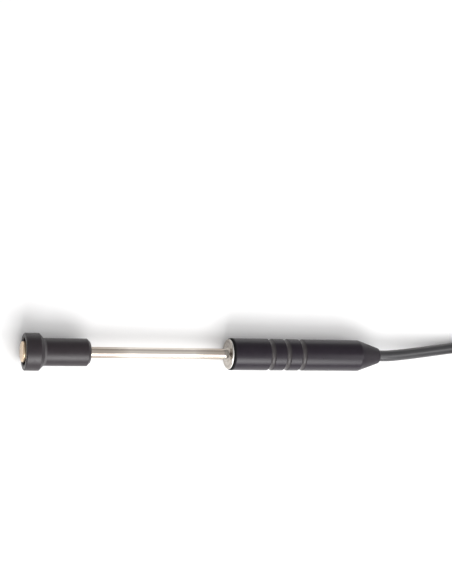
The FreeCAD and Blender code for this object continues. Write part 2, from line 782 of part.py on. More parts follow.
def rounded_plate(sketch):
    """The plug's outline from above, with rounded corners."""
    rear = PLUG_REAR
    front = f"({PLUG_REAR} + plug_length)"
    half = "(plug_width / 2)"
    closed_outline(
        sketch,
        [
            (f"{rear} + plug_corner", f"0 - {half}"),
            (f"{front} - plug_corner", f"0 - {half}"),
            (front, f"0 - {half} + plug_corner"),
            (front, f"{half} - plug_corner"),
            (f"{front} - plug_corner", half),
            (f"{rear} + plug_corner", half),
            (rear, f"{half} - plug_corner"),
            (rear, f"0 - {half} + plug_corner"),
        ],
        arcs={1: ("plug_corner", -1), 3: ("plug_corner", -1), 5: ("plug_corner", -1), 7: ("plug_corner", -1)},
    )


def shell_half(node, low):
    """One half of the plug's shell, with its outer edge bevelled."""
    body = new_piece(node, hank_place)
    sketch = plane_sketch(body, node + "_outline", "XY_Plane", low)
    rounded_plate(sketch)
    pad = body.newObject("PartDesign::Pad", node + "_height")
    pad.Profile = sketch
    pad.setExpression("Length", bound("plug_thick / 2"))
    return body


def level_edges(feature, level):
    """The names of the feature's edges that lie at one height."""
    doc.recompute()
    return [
        f"Edge{index}"
        for index, edge in enumerate(feature.Shape.Edges, start=1)
        if abs(edge.BoundBox.ZMin - level) < 1e-6 and abs(edge.BoundBox.ZMax - level) < 1e-6
    ]


def cut_down(body, name, level, depth, draw):
    """A pocket cut downward from a level of the body."""
    sketch = plane_sketch(body, name + "_outline", "XY_Plane", level)
    draw(sketch)
    pocket = body.newObject("PartDesign::Pocket", name)
    pocket.Profile = sketch
    pocket.setExpression("Length", bound(depth))


def cable_entry(body, name):
    """A bore for the cable through the half's rear wall."""
    sketch = plane_sketch(body, name + "_circle", "YZ_Plane", f"{PLUG_REAR} + hollow_wall")
    add_circle(sketch, "0", PLUG_MIDDLE, "cable_dia / 2 + fit_clear")
    pocket = body.newObject("PartDesign::Pocket", name)
    pocket.Profile = sketch
    pocket.setExpression("Length", bound("hollow_wall"))


SCREW_X = f"({PLUG_REAR} + screw_place)"
BLADES = (("wide", "1", "wide_blade"), ("narrow", "-1", "narrow_blade"))
BLADE_REAR = f"({PLUG_REAR} + plug_length - blade_in)"


def blade_slots(sketch):
    for _, sign, width in BLADES:
        near = f"{sign} * blade_pitch / 2 - {width} / 2 - fit_clear"
        far = f"{sign} * blade_pitch / 2 + {width} / 2 + fit_clear"
        closed_outline(
            sketch,
            [
                (f"{BLADE_REAR} - fit_clear", near),
                (f"{PLUG_REAR} + plug_length + 1", near),
                (f"{PLUG_REAR} + plug_length + 1", far),
                (f"{BLADE_REAR} - fit_clear", far),
            ],
        )


HOLLOW_REAR = f"({PLUG_REAR} + hollow_wall)"
HOLLOW_STEP = f"({SCREW_X} + screw_head_dia / 2)"
HOLLOW_FRONT = f"({BLADE_REAR} + hollow_reach)"
HOLLOW_SIDE = "(hollow_width / 2)"
HOLLOW_SHOULDER = "(blade_pitch / 2 + core_dia)"


def lower_hollow(sketch):
    closed_outline(
        sketch,
        [
            (HOLLOW_REAR, f"0 - {HOLLOW_SIDE}"),
            (f"{BLADE_REAR} - fit_clear - tail_gap", f"0 - {HOLLOW_SIDE}"),
            (f"{BLADE_REAR} - fit_clear - tail_gap", HOLLOW_SIDE),
            (HOLLOW_REAR, HOLLOW_SIDE),
        ],
    )


def upper_hollow(sketch):
    closed_outline(
        sketch,
        [
            (HOLLOW_REAR, f"0 - {HOLLOW_SIDE}"),
            (HOLLOW_STEP, f"0 - {HOLLOW_SIDE}"),
            (HOLLOW_STEP, f"0 - {HOLLOW_SHOULDER}"),
            (HOLLOW_FRONT, f"0 - {HOLLOW_SHOULDER}"),
            (HOLLOW_FRONT, HOLLOW_SHOULDER),
            (HOLLOW_STEP, HOLLOW_SHOULDER),
            (HOLLOW_STEP, HOLLOW_SIDE),
            (HOLLOW_REAR, HOLLOW_SIDE),
        ],
    )


def screw_circles(radius):
    def draw(sketch):
        for sign in ("1", "-1"):
            add_circle(sketch, SCREW_X, f"{sign} * screw_pitch / 2", radius)

    return draw


base = shell_half("plug_base", "2 * cable_dia")
dressed(
    base, "Chamfer", "plug_base_bevel", level_edges(base.Tip, number("2 * cable_dia")), "Size", "plug_edge"
)
cut_down(base, "base_hollow", PLUG_MIDDLE, "hollow_depth", lower_hollow)
cable_entry(base, "base_entry")
cut_down(base, "blade_slots", PLUG_MIDDLE, "blade_thick + fit_clear", blade_slots)
cut_down(
    base, "base_screw_holes", PLUG_MIDDLE, "plug_thick / 2 - 1", screw_circles("screw_dia / 2 + fit_clear")
)

cover = shell_half("plug_cover", PLUG_MIDDLE)
cover_top = f"({PLUG_MIDDLE} + plug_thick / 2)"
dressed(cover, "Chamfer", "plug_cover_bevel", level_edges(cover.Tip, number(cover_top)), "Size", "plug_edge")
cut_down(cover, "cover_hollow", f"{PLUG_MIDDLE} + hollow_depth", "hollow_depth", upper_hollow)
cable_entry(cover, "cover_entry")
cut_down(
    cover, "screw_recesses", cover_top, "screw_head", screw_circles("screw_head_dia / 2 + recess_clear")
)
cut_down(
    cover, "cover_screw_holes", cover_top, "plug_thick / 2", screw_circles("screw_dia / 2 + fit_clear")
)

for word, sign, width in BLADES:
    blade = new_piece(f"plug_blade_{word}", hank_place)
    under_side = f"{PLUG_MIDDLE} - blade_thick"
    blade_sketch = plane_sketch(blade, f"plug_blade_{word}_outline", "XY_Plane", under_side)
    near = f"{sign} * blade_pitch / 2 - {width} / 2"
    far = f"{sign} * blade_pitch / 2 + {width} / 2"
    closed_outline(
        blade_sketch,
        [
            (BLADE_REAR, near),
            (f"{PLUG_REAR} + plug_length + blade_out", near),
            (f"{PLUG_REAR} + plug_length + blade_out", far),
            (BLADE_REAR, far),
        ],
    )
    blade_pad = blade.newObject("PartDesign::Pad", f"plug_blade_{word}_thickness")
    blade_pad.Profile = blade_sketch
    blade_pad.setExpression("Length", bound("blade_thick"))

for side, sign in (("left", "1"), ("right", "-1")):
    rear_x = f"({PLUG_REAR} + cable_in_plug + core_dia / 5)"
    front_x = f"({HOLLOW_FRONT} - core_dia / 4)"
    front_y = "(blade_pitch / 2 - core_dia / 4)"
    level = number(f"{PLUG_MIDDLE} + core_dia / 2 + tail_gap")
    rear = FreeCAD.Vector(number(rear_x), number(f"{sign} * lead_offset"), level)
    front = FreeCAD.Vector(number(front_x), number(f"{sign} * {front_y}"), level)
    toward = FreeCAD.Rotation(FreeCAD.Vector(1, 0, 0), front - rear)
    drawn_wire(
        f"plug_core_{side}",
        "0",
        f"sqrt(({front_x} - {rear_x}) ^ 2 + ({front_y} - lead_offset) ^ 2)",
        "0",
        "core_dia / 2",
        placement=hank_place.multiply(FreeCAD.Placement(rear, toward)),
    )
    screw_place = hank_place.multiply(
        FreeCAD.Placement(
            FreeCAD.Vector(number(SCREW_X), number(f"{sign} * screw_pitch / 2"), number(cover_top)),
            FreeCAD.Rotation(FreeCAD.Vector(0, 1, 0), 90),
        )
    )
    turned(
        f"plug_screw_{side}",
        [
            ("0", "0"),
            ("0", "screw_head_dia / 2"),
            ("screw_head", "screw_head_dia / 2"),
            ("screw_head", "screw_dia / 2"),
            ("plug_thick - 1.5", "screw_dia / 2"),
            ("plug_thick - 1.5", "0"),
        ],
        placement=screw_place,
    )

# Checks, then one file for each piece

doc.recompute()
for item in doc.Objects:
    if {"Invalid", "Error"} & set(item.State):
        raise RuntimeError(f"{item.Name} failed: {item.State}")
for piece in nodes:
    if piece.Shape.isNull() or not piece.Shape.isValid():
        raise RuntimeError(f"{piece.Name} has no valid shape")
    if len(piece.Shape.Solids) != 1:
        raise RuntimeError(f"{piece.Name} has {len(piece.Shape.Solids)} solids")

os.makedirs("parts", exist_ok=True)
for piece in nodes:
    piece.Shape.exportStep(f"parts/{piece.Name}.step")
print(len(nodes), "pieces; tilt", round(math.degrees(tilt), 4), "degrees")
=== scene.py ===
# %% [markdown]
# # A contact temperature probe
#
# The object is a slim measuring probe: a black moulded head with a copper contact in its mouth, a bright
# steel tube, a turned metal nose, and a black handle with three rounded grooves. Its cable is folded into a
# hank that ends in a small flat plug. The solids come from a CAD model, and this lesson dresses them for a
# studio picture.

import math

import bmesh
import bpy
from mathutils import Matrix, Vector


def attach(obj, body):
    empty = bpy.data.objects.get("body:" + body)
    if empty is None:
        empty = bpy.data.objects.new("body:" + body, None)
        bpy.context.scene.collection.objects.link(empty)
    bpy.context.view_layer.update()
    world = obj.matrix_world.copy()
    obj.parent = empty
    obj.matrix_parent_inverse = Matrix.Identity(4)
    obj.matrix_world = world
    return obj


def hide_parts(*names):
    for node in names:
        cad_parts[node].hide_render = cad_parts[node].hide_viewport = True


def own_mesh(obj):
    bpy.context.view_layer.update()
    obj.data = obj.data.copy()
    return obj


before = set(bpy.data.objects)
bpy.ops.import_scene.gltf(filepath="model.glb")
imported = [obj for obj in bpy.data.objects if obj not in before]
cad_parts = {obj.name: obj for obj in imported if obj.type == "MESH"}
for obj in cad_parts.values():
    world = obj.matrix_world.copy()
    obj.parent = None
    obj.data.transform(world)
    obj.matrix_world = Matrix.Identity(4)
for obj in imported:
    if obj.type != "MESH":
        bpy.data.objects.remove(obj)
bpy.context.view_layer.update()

# %% [markdown]
# ## Where the probe lies
#
# A probe with a wide collar and a slimmer handle doesn't lie level: it rests on the collar and on the far end
# of the handle, so its axis falls by a third of a degree towards the cable. Every turned piece is drawn along
# its own axis, as on a lathe, and one matrix then lays it down. Places along the axis are in millimetres from
# the head's front face.

# %% Lay the axis down
MM = 0.001
TRAVEL = 0.8
CONTACT_FRONT = -TRAVEL
COLLAR_END = 4.8
COLLAR_R = 6.15
HANDLE_FRONT = 70.6
HANDLE_R = 5.5
GROOVE_SPACING = 5.8
GROOVES = (85.2, 91.0, 96.8)
TAPER_START = 119.2
HANDLE_END = 127.6

tilt = math.atan2(COLLAR_R - HANDLE_R, TAPER_START - COLLAR_END)
axis_height = COLLAR_END * math.sin(tilt) + COLLAR_R * math.cos(tilt)
middle = (CONTACT_FRONT + HANDLE_END) / 2
lay_down = (
    Matrix.Translation((-middle * math.cos(tilt) * MM, 0, axis_height * MM))
    @ Matrix.Rotation(tilt, 4, "Y")
    @ Matrix.Scale(MM, 4)
)


def on_axis(place):
    """A place on the probe's axis, in metres."""
    return lay_down @ Vector((place, 0, 0))


print("axis tips by", round(math.degrees(tilt), 3), "degrees; handle ends at", on_axis(HANDLE_END))

# %% [markdown]
# ## Camera
#
# The picture was taken from high above, a little from the head's side: the head's mouth and the handle's
# nose both show as narrow ellipses, and the mouth's is the narrower one. Two ellipses of different width are
# what a near camera gives, so its distance can be worked out from them. Here the camera is described by where
# it sees the head's front and along which direction it sees the probe run, and a matrix is made of that. The
# lens isn't shifted, because every other view would keep the shift and lose the probe.

# %% Place the camera
SENSOR_MM = 36
PHOTO_HEIGHT = 584
FOCAL_PIXELS = 1154
SEEN_FRONT = Vector((-65.27, -19.24, -372.23)) * MM
SEEN_RISE = math.radians(19.95)
SEEN_SLOPE = math.radians(-1.80)

level = math.cos(SEEN_RISE)
along = Vector((level * math.cos(SEEN_SLOPE), level * math.sin(SEEN_SLOPE), -math.sin(SEEN_RISE)))
probe_middle = SEEN_FRONT + along * middle * MM
toward_camera = -probe_middle.normalized()
across = toward_camera.cross(along).normalized()
above = along.cross(across)
axis_x = along * math.cos(tilt) + above * math.sin(tilt)
axis_z = above * math.cos(tilt) - along * math.sin(tilt)
turn = Matrix((axis_x, across, axis_z)).transposed()
offset = SEEN_FRONT - turn @ on_axis(0)

camera_data = bpy.data.cameras.new("studio camera")
camera_data.sensor_width = SENSOR_MM
camera_data.lens = FOCAL_PIXELS * SENSOR_MM / PHOTO_HEIGHT
camera_data.clip_start = 0.01
camera = bpy.data.objects.new("studio camera", camera_data)
camera.matrix_world = Matrix.Translation(turn.transposed() @ -offset) @ turn.transposed().to_4x4()
bpy.context.collection.objects.link(camera)
bpy.context.scene.camera = camera
print("camera:", [round(v, 4) for v in camera.matrix_world.translation], "lens:", camera_data.lens)

# %% [markdown]
# ## Studio
#
# The shadows fall away from the viewer's side and are soft, and the floor is as white as the paper it is
# printed on. A bank of soft boxes half a metre away on the near side gives both. It is close, so the head's
# shadow leans further to the left than the handle's. A sheet overhead, a box past the cable and a grey room
# fill the shadows. The boxes also make the bright band on the steel tube and the room the grey one, so both
# are set by what it shows.

# %% Light the room
ROOM_GREY = (0.515, 0.51, 0.51, 1)
BOX_FAR = 0.45
# name, angle above the floor, step to the right, width, height, watts
BOXES = (
    ("low box", 32, 0.08, 0.45, 0.25, 1.27),
    ("main box", 44, 0.08, 0.45, 0.25, 1.53),
    ("high box", 62, 0.08, 0.45, 0.25, 0.27),
    ("sheet overhead", 90, 0.08, 0.90, 0.90, 0.46),
    ("box at the cable's side", 80, 0.50, 0.45, 0.25, 1.20),
)

world = bpy.data.worlds.new("pale room")
world.use_nodes = True
world.node_tree.nodes["Background"].inputs["Color"].default_value = ROOM_GREY
bpy.context.scene.world = world


def soft_box(name, rise, aside, width, height, watts):
    """A lamp on the near side that faces the probe."""
    lamp = bpy.data.lights.new(name, "AREA")
    lamp.shape = "RECTANGLE"
    lamp.size, lamp.size_y = width, height
    lamp.energy = watts
    box = bpy.data.objects.new(name, lamp)
    toward = Vector((0, -math.cos(math.radians(rise)), math.sin(math.radians(rise))))
    box.location = toward * BOX_FAR + Vector((aside, 0, 0))
    box.rotation_euler = (-toward).to_track_quat("-Z", "Y").to_euler()
    bpy.context.collection.objects.link(box)
    return box


boxes = [soft_box(*values) for values in BOXES]
print("lamps:", [(box.name, box.data.energy) for box in boxes])

# %% Lay the floor
FLOOR_HALF = 3
FLOOR_DROP = 0.00002
floor_mesh = bpy.data.meshes.new("studio floor")
floor_corners = [(x * FLOOR_HALF, y * FLOOR_HALF, 0) for x, y in ((-1, -1), (1, -1), (1, 1), (-1, 1))]
floor_mesh.from_pydata(floor_corners, [], [(0, 1, 2, 3)])
floor = bpy.data.objects.new("studio floor", floor_mesh)
floor.location.z = -FLOOR_DROP
bpy.context.collection.objects.link(floor)
bpy.context.scene.view_settings.view_transform = "Standard"
bpy.context.scene.view_settings.look = "None"
print("floor:", floor.location.z)

# %% [markdown]
# ## Shared surface effects
#
# Real surfaces are never one flat colour. Moulded plastic has a fine grain, drawn steel has faint lines
# along its length, and turned metal has rings round its axis. Each effect is one node group. It only puts out
# a height and a tone, or a mask for narrow bands, and a material chooses how much of each it takes. Painted
# pictures could do the same, but a pattern that is read in object coordinates shows no pixels close up.

# %% Make node groups
PER_MM = 1000


def new_group(name, inputs, outputs=("Height", "Tone")):
    """A shader group of numbers, with its inputs' names and values, and its two end nodes."""
    group = bpy.data.node_groups.new(name, "ShaderNodeTree")
    for socket, value in inputs.items():
        made = group.interface.new_socket(socket, in_out="INPUT", socket_type="NodeSocketFloat")
        made.default_value = value
    for socket in outputs:
        group.interface.new_socket(socket, in_out="OUTPUT", socket_type="NodeSocketFloat")
    return group, group.nodes.new("NodeGroupInput"), group.nodes.new("NodeGroupOutput")


def place_in_mm(group, along_axis=PER_MM):
    """Object coordinates in millimetres; a small value draws the pattern out along the axis."""
    coordinates = group.nodes.new("ShaderNodeTexCoord")
    mapping = group.nodes.new("ShaderNodeMapping")
    mapping.inputs["Scale"].default_value = (along_axis, PER_MM, PER_MM)
    group.links.new(coordinates.outputs["Object"], mapping.inputs["Vector"])
    return mapping.outputs["Vector"]


def noise_at(group, place, scale, detail):
    """A noise read at a place; its scale is a socket."""
    noise = group.nodes.new("ShaderNodeTexNoise")
    noise.inputs["Detail"].default_value = detail
    group.links.new(place, noise.inputs["Vector"])
    group.links.new(scale, noise.inputs["Scale"])
    return noise.outputs["Fac"]


def math_node(group, kind, *values, clamp=False):
    """One arithmetic node; the values are sockets or numbers."""
    node = group.nodes.new("ShaderNodeMath")
    node.operation = kind
    node.use_clamp = clamp
    for value, socket in zip(values, node.inputs):
        if isinstance(value, bpy.types.NodeSocket):
            group.links.new(value, socket)
        else:
            socket.default_value = value
    return node.outputs[0]


# %% Moulded grain
grain, grain_in, grain_out = new_group("moulded grain", {"Size": 6.0, "Patches": 0.4})
grain_place = place_in_mm(grain)
fine = noise_at(grain, grain_place, grain_in.outputs["Size"], 3)
patches = noise_at(grain, grain_place, grain_in.outputs["Patches"], 2)
grain.links.new(fine, grain_out.inputs["Height"])
grain.links.new(patches, grain_out.inputs["Tone"])
print(grain.name, "has", len(grain.nodes), "nodes")

# %% Drawn lines and turned rings
lines, lines_in, lines_out = new_group("drawn lines", {"Fineness": 9.0})
streak = noise_at(lines, place_in_mm(lines, along_axis=8), lines_in.outputs["Fineness"], 4)
lines.links.new(streak, lines_out.inputs["Height"])
lines.links.new(streak, lines_out.inputs["Tone"])

rings, rings_in, rings_out = new_group("turned rings", {"Rings per mm": 5.0, "Unevenness": 0.4})
from_axis = rings.nodes.new("ShaderNodeVectorMath")
from_axis.operation = "LENGTH"
rings.links.new(place_in_mm(rings, along_axis=0), from_axis.inputs[0])
ring_number = math_node(rings, "MULTIPLY", from_axis.outputs["Value"], rings_in.outputs["Rings per mm"])
wobble = rings.nodes.new("ShaderNodeTexNoise")
wobble.noise_dimensions = "1D"
wobble.inputs["Scale"].default_value = 1.0
wobble.inputs["Detail"].default_value = 5
rings.links.new(ring_number, wobble.inputs["W"])
ring_tone = math_node(rings, "MULTIPLY", wobble.outputs["Fac"], rings_in.outputs["Unevenness"])
rings.links.new(wobble.outputs["Fac"], rings_out.inputs["Height"])
rings.links.new(ring_tone, rings_out.inputs["Tone"])
print(lines.name, "has", len(lines.nodes), "nodes;", rings.name, "has", len(rings.nodes))

# %% Bands along the axis
BAND_SHARPNESS = 3.0
bands, bands_in, bands_out = new_group(
    "bands along the axis",
    {"First": 0.0, "Spacing": 1.0, "Count": 1.0, "Half width": 0.5},
    outputs=("Mask",),
)
bands_split = bands.nodes.new("ShaderNodeSeparateXYZ")
bands.links.new(place_in_mm(bands), bands_split.inputs[0])
from_first = math_node(bands, "SUBTRACT", bands_split.outputs["X"], bands_in.outputs["First"])
in_spacings = math_node(bands, "DIVIDE", from_first, bands_in.outputs["Spacing"])
nearest = math_node(bands, "ROUND", in_spacings)
last_band = math_node(bands, "SUBTRACT", bands_in.outputs["Count"], 1.0)
held_nearest = math_node(bands, "MAXIMUM", math_node(bands, "MINIMUM", nearest, last_band), 0.0)
off_band = math_node(bands, "ABSOLUTE", math_node(bands, "SUBTRACT", in_spacings, held_nearest))
off_mm = math_node(bands, "MULTIPLY", off_band, bands_in.outputs["Spacing"])
share_off = math_node(bands, "DIVIDE", off_mm, bands_in.outputs["Half width"])
fade = math_node(bands, "POWER", share_off, BAND_SHARPNESS)
bands.links.new(math_node(bands, "SUBTRACT", 1.0, fade, clamp=True), bands_out.inputs["Mask"])
print(bands.name, "has", len(bands.nodes), "nodes")

# %% Woven strap
weave, weave_in, weave_out = new_group("strap weave", {"Threads per mm": 2.2})
split = weave.nodes.new("ShaderNodeSeparateXYZ")
weave.links.new(place_in_mm(weave), split.inputs[0])
threads = weave_in.outputs["Threads per mm"]
round_the_band = math_node(weave, "ADD", split.outputs["Y"], split.outputs["Z"])
warp = math_node(weave, "SINE", math_node(weave, "MULTIPLY", split.outputs["X"], threads))
weft = math_node(weave, "SINE", math_node(weave, "MULTIPLY", round_the_band, threads))
crossed = math_node(weave, "MULTIPLY", warp, weft)
weave.links.new(math_node(weave, "MULTIPLY_ADD", crossed, 0.5, 0.5), weave_out.inputs["Height"])
weave.links.new(crossed, weave_out.inputs["Tone"])
print("groups:", [group.name for group in bpy.data.node_groups])

# %% [markdown]
# ## Finishes
#
# A finish starts as a plain Principled shader. A helper then lets a group's tone move the base colour and the
# roughness a little and its height move the normal. Each material could be wired by hand, but the same few
# nodes come back in every one. Constant values stay on the shader's own sockets, where an exported model can
# find them. A second helper gives narrow bands along the axis a colour and roughness of their own; each
# band's colour in this script is painted light or painted shade.

# %% Make a finish
COAT_ROUGHNESS = 0.1


def finish_of(name, colour, roughness, metallic=0.0, coat=0.0, specular=0.5):
    """A material with one Principled shader and constant values."""
    material = bpy.data.materials.new(name)
    material.use_nodes = True
    shader = material.node_tree.nodes["Principled BSDF"]
    shader.inputs["Base Color"].default_value = (*colour, 1)
    shader.inputs["Roughness"].default_value = roughness
    shader.inputs["Metallic"].default_value = metallic
    shader.inputs["Coat Weight"].default_value = coat
    shader.inputs["Coat Roughness"].default_value = COAT_ROUGHNESS
    shader.inputs["Specular IOR Level"].default_value = specular
    material.diffuse_color = (*colour, 1)
    return material


def place_group(material, group, values):
    """Puts a group into a material, with its values, beside the shader."""
    tree = material.node_tree
    effect = tree.nodes.new("ShaderNodeGroup")
    effect.node_tree = group
    for socket, value in values.items():
        effect.inputs[socket].default_value = value
    return tree, tree.nodes["Principled BSDF"], effect


# %% Add an effect
def add_effect(material, group, values, tones, roughness, depth):
    """Lets a group's tone mix two colours and two roughnesses, and its height raise the surface."""
    tree, shader, effect = place_group(material, group, values)
    mixed = tree.nodes.new("ShaderNodeMix")
    mixed.data_type = "RGBA"
    mixed.inputs["A"].default_value = (*tones[0], 1)
    mixed.inputs["B"].default_value = (*tones[1], 1)
    tree.links.new(effect.outputs["Tone"], mixed.inputs["Factor"])
    tree.links.new(mixed.outputs["Result"], shader.inputs["Base Color"])
    spread = tree.nodes.new("ShaderNodeMapRange")
    spread.inputs["To Min"].default_value = roughness[0]
    spread.inputs["To Max"].default_value = roughness[1]
    tree.links.new(effect.outputs["Tone"], spread.inputs["Value"])
    tree.links.new(spread.outputs["Result"], shader.inputs["Roughness"])
    bump = tree.nodes.new("ShaderNodeBump")
    bump.inputs["Distance"].default_value = depth * MM
    tree.links.new(effect.outputs["Height"], bump.inputs["Height"])
    tree.links.new(bump.outputs["Normal"], shader.inputs["Normal"])
    return material


# %% Bands and grain
def add_band(material, first, half_width, colour, roughness=None, spacing=1.0, count=1.0):
    """Gives narrow bands along the axis another colour and, if given, another roughness."""
    values = {"First": first, "Spacing": spacing, "Count": count, "Half width": half_width}
    tree, shader, effect = place_group(material, bands, values)
    for socket, kind, value in (("Base Color", "RGBA", (*colour, 1)), ("Roughness", "FLOAT", roughness)):
        if value is None:
            continue
        mixed = tree.nodes.new("ShaderNodeMix")
        mixed.data_type = kind
        mixed.inputs["B"].default_value = value
        tree.links.new(shader.inputs[socket].links[0].from_socket, mixed.inputs["A"])
        tree.links.new(effect.outputs["Mask"], mixed.inputs["Factor"])
        tree.links.new(mixed.outputs["Result"], shader.inputs[socket])


def grained(name, plain, size, patchy, tones, roughness, depth, **constants):
    """A finish with moulded grain; plain is its colour and roughness where the grain isn't read."""
    material = finish_of(name, *plain, **constants)
    return add_effect(material, grain, {"Size": size, "Patches": patchy}, tones, roughness, depth)


# %% [markdown]
# ## Black plastic
#
# The head and the handle are moulded in much the same black plastic. The head is the more matt one, and the
# slope behind its collar is rougher and painted paler, a painted highlight, as is a pale ring in the hollow
# corner behind it. The handle's groove floors are painted paler, a painted highlight, its taper is matt and
# painted a little paler as painted light, and a black line at its front edge is painted shade. Separate
# pieces could carry these differences, but bands along the axis keep each moulding whole.

# %% Head plastic
head_tones = ((0.009, 0.005, 0.0075), (0.016, 0.010, 0.014))
head_plain = ((0.012, 0.010, 0.011), 0.36)
head_black = grained("head plastic", head_plain, 4.0, 0.8, head_tones, (0.30, 0.50), 0.018, specular=0.44)
# painted highlight: the slope behind the collar is painted paler; its rougher gloss is the plastic's own
add_band(head_black, 5.5, 0.8, (0.026, 0.022, 0.025), 0.55)
# painted highlight: a pale ring in the hollow corner behind the slope
add_band(head_black, 6.4, 0.5, (0.060, 0.055, 0.058), 0.6)
print("nodes in the head's plastic:", len(head_black.node_tree.nodes))

# %% Handle plastic
handle_tones = ((0.006, 0.0025, 0.0075), (0.011, 0.007, 0.013))
handle_plain = ((0.008, 0.007, 0.009), 0.34)
handle_black = grained(
    "handle plastic", handle_plain, 6.0, 0.35, handle_tones, (0.25, 0.36), 0.008, specular=0.32
)
# painted highlight: the floors of the grooves are painted paler
add_band(handle_black, GROOVES[0], 1.0, (0.044, 0.039, 0.040), 0.36, GROOVE_SPACING, len(GROOVES))
# the taper is matt; its paler colour is painted light
add_band(handle_black, 124.2, 5.6, (0.016, 0.0125, 0.0165), 0.52)
# painted shade: a black line along the front edge, next to the nose
add_band(handle_black, HANDLE_FRONT, 1.15, (0.0, 0.0, 0.0), 1.0)
print("bands on the handle's grooves:", GROOVES)

# %% [markdown]
# ## Other plastics and rubber
#
# The cable's jacket is smooth, the plug is a more matt plastic, and the boot and the seal are rubber. Inside
# are a tan carrier, glossy resin on the sensing element, shrunk sleeves and coloured wires. Each could have
# an effect of its own, but they differ only in tone, gloss and grain, so one helper makes them all.

# %% Jacket, plug and rubber
jacket_tones = ((0.026, 0.0255, 0.027), (0.038, 0.037, 0.040))
jacket_plain = ((0.012, 0.012, 0.013), 0.32)
jacket_black = grained("cable jacket", jacket_plain, 3.0, 0.3, jacket_tones, (0.28, 0.40), 0.010)
plug_tones = ((0.012, 0.012, 0.013), (0.022, 0.022, 0.023))
plug_plain = ((0.014, 0.014, 0.015), 0.5)
plug_black = grained("plug plastic", plug_plain, 6.0, 0.4, plug_tones, (0.46, 0.58), 0.014)
seal_tones = ((0.008, 0.008, 0.008), (0.016, 0.016, 0.016))
seal_plain = ((0.010, 0.010, 0.010), 0.55)
seal_black = grained("seal rubber", seal_plain, 5.0, 0.5, seal_tones, (0.5, 0.65), 0.005)
boot_tones = ((0.010, 0.010, 0.010), (0.018, 0.018, 0.018))
boot_plain = ((0.012, 0.012, 0.012), 0.6)
boot_black = grained("boot rubber", boot_plain, 8.0, 0.5, boot_tones, (0.55, 0.7), 0.010)
print("jacket, plug and rubber:", jacket_black.name, plug_black.name, seal_black.name, boot_black.name)

# %% Carrier, resin and sleeves
carrier_tones = ((0.46, 0.38, 0.27), (0.56, 0.47, 0.34))
carrier_plain = ((0.50, 0.42, 0.30), 0.45)
carrier_tan = grained("carrier plastic", carrier_plain, 5.0, 0.4, carrier_tones, (0.4, 0.5), 0.006)
sensor_tones = ((0.05, 0.10, 0.06), (0.08, 0.15, 0.09))
sensor_plain = ((0.06, 0.12, 0.07), 0.25)
sensor_resin = grained("sensor resin", sensor_plain, 2.0, 0.8, sensor_tones, (0.2, 0.32), 0.02, coat=0.4)
shrink_tones = ((0.024, 0.024, 0.026), (0.04, 0.04, 0.042))
shrink_plain = ((0.03, 0.03, 0.032), 0.5)
shrink_black = grained("shrink sleeve", shrink_plain, 2.5, 0.6, shrink_tones, (0.45, 0.6), 0.015)
print("inside:", carrier_tan.name, sensor_resin.name, shrink_black.name)


# %% Wires
def wire_insulation(name, colour):
    """Smooth insulation with a slightly uneven gloss."""
    darker = tuple(c * 0.85 for c in colour)
    return grained(name, (colour, 0.4), 4.0, 0.9, (darker, colour), (0.35, 0.48), 0.006)


lead_cream = wire_insulation("lead insulation", (0.72, 0.69, 0.60))
core_green = wire_insulation("green core", (0.05, 0.30, 0.12))
core_white = wire_insulation("white core", (0.74, 0.73, 0.69))
print("wires:", lead_cream.name, core_green.name, core_white.name)

# %% [markdown]
# ## Strap fabric
#
# The strap is woven from fine black thread and is dull, with a faint sheen where it is seen at a flat angle.
# Each thread could be modelled, but on so small a piece a weave in tone and bump is all that can be seen.

# %% Fabric
strap_black = add_effect(
    finish_of("strap fabric", (0.012, 0.012, 0.013), 0.85),
    weave,
    {"Threads per mm": 9.0},
    ((0.010, 0.010, 0.011), (0.026, 0.026, 0.028)),
    (0.75, 0.95),
    0.05,
)
strap_black.node_tree.nodes["Principled BSDF"].inputs["Sheen Weight"].default_value = 0.3
print("fabric:", strap_black.name)

# %% [markdown]
# ## Metals
#
# The tube is drawn steel with a slightly warm tone, painted darker near both of its ends as painted shade
# and reflection of the black head and handle. The nose and the contact are turned, so they have rings
# instead of lines, and the nose's rim is painted pale, a painted highlight. The small hardware is plain
# metal with a slight grain. Reflections could be painted on, but they would stay where they are when the
# probe turns, so apart from these painted marks, tone, roughness and the lamps make the look.

# %% Tube steel
ENDS_APART = 48.6
tube_steel = add_effect(
    finish_of("tube steel", (0.79, 0.72, 0.65), 0.16, metallic=1.0),
    lines,
    {"Fineness": 3.0},
    ((0.64, 0.58, 0.515), (0.90, 0.84, 0.77)),
    (0.10, 0.20),
    0.0015,
)
# painted shade and reflection: the tube is painted darker near the black head and handle at its ends
add_band(tube_steel, 22.0, 13.0, (0.52, 0.455, 0.395), spacing=ENDS_APART, count=2)
TUBE_TINT = (0.55, 0.50, 0.45, 1)
tube_steel.node_tree.nodes["Principled BSDF"].inputs["Specular Tint"].default_value = TUBE_TINT
print("tube steel's bands are", ENDS_APART, "mm apart")

# %% Turned metals
nose_steel = add_effect(
    finish_of("turned steel", (0.52, 0.49, 0.46), 0.14, metallic=1.0),
    rings,
    {"Rings per mm": 1.3, "Unevenness": 1.0},
    ((0.09, 0.075, 0.06), (0.74, 0.685, 0.62)),
    (0.10, 0.22),
    0.012,
)
# painted highlight: the flange's rim is painted pale; its rough finish is the metal's own
add_band(nose_steel, 70.5, 0.24, (0.80, 0.79, 0.77), 0.8)
contact_copper = add_effect(
    finish_of("contact copper", (0.93, 0.70, 0.52), 0.3, metallic=1.0),
    rings,
    {"Rings per mm": 4.0, "Unevenness": 1.0},
    ((0.65, 0.50, 0.35), (0.75, 0.59, 0.42)),
    (0.24, 0.38),
    0.004,
)
print("turned metals:", nose_steel.name, contact_copper.name)


# %% Small hardware
def small_metal(name, colour, roughness):
    """Plain machined or drawn metal for small hardware."""
    tones = (tuple(c * 0.86 for c in colour), colour)
    gloss = (roughness * 0.85, roughness * 1.25)
    return grained(name, (colour, roughness), 3.0, 0.9, tones, gloss, 0.003, metallic=1.0)


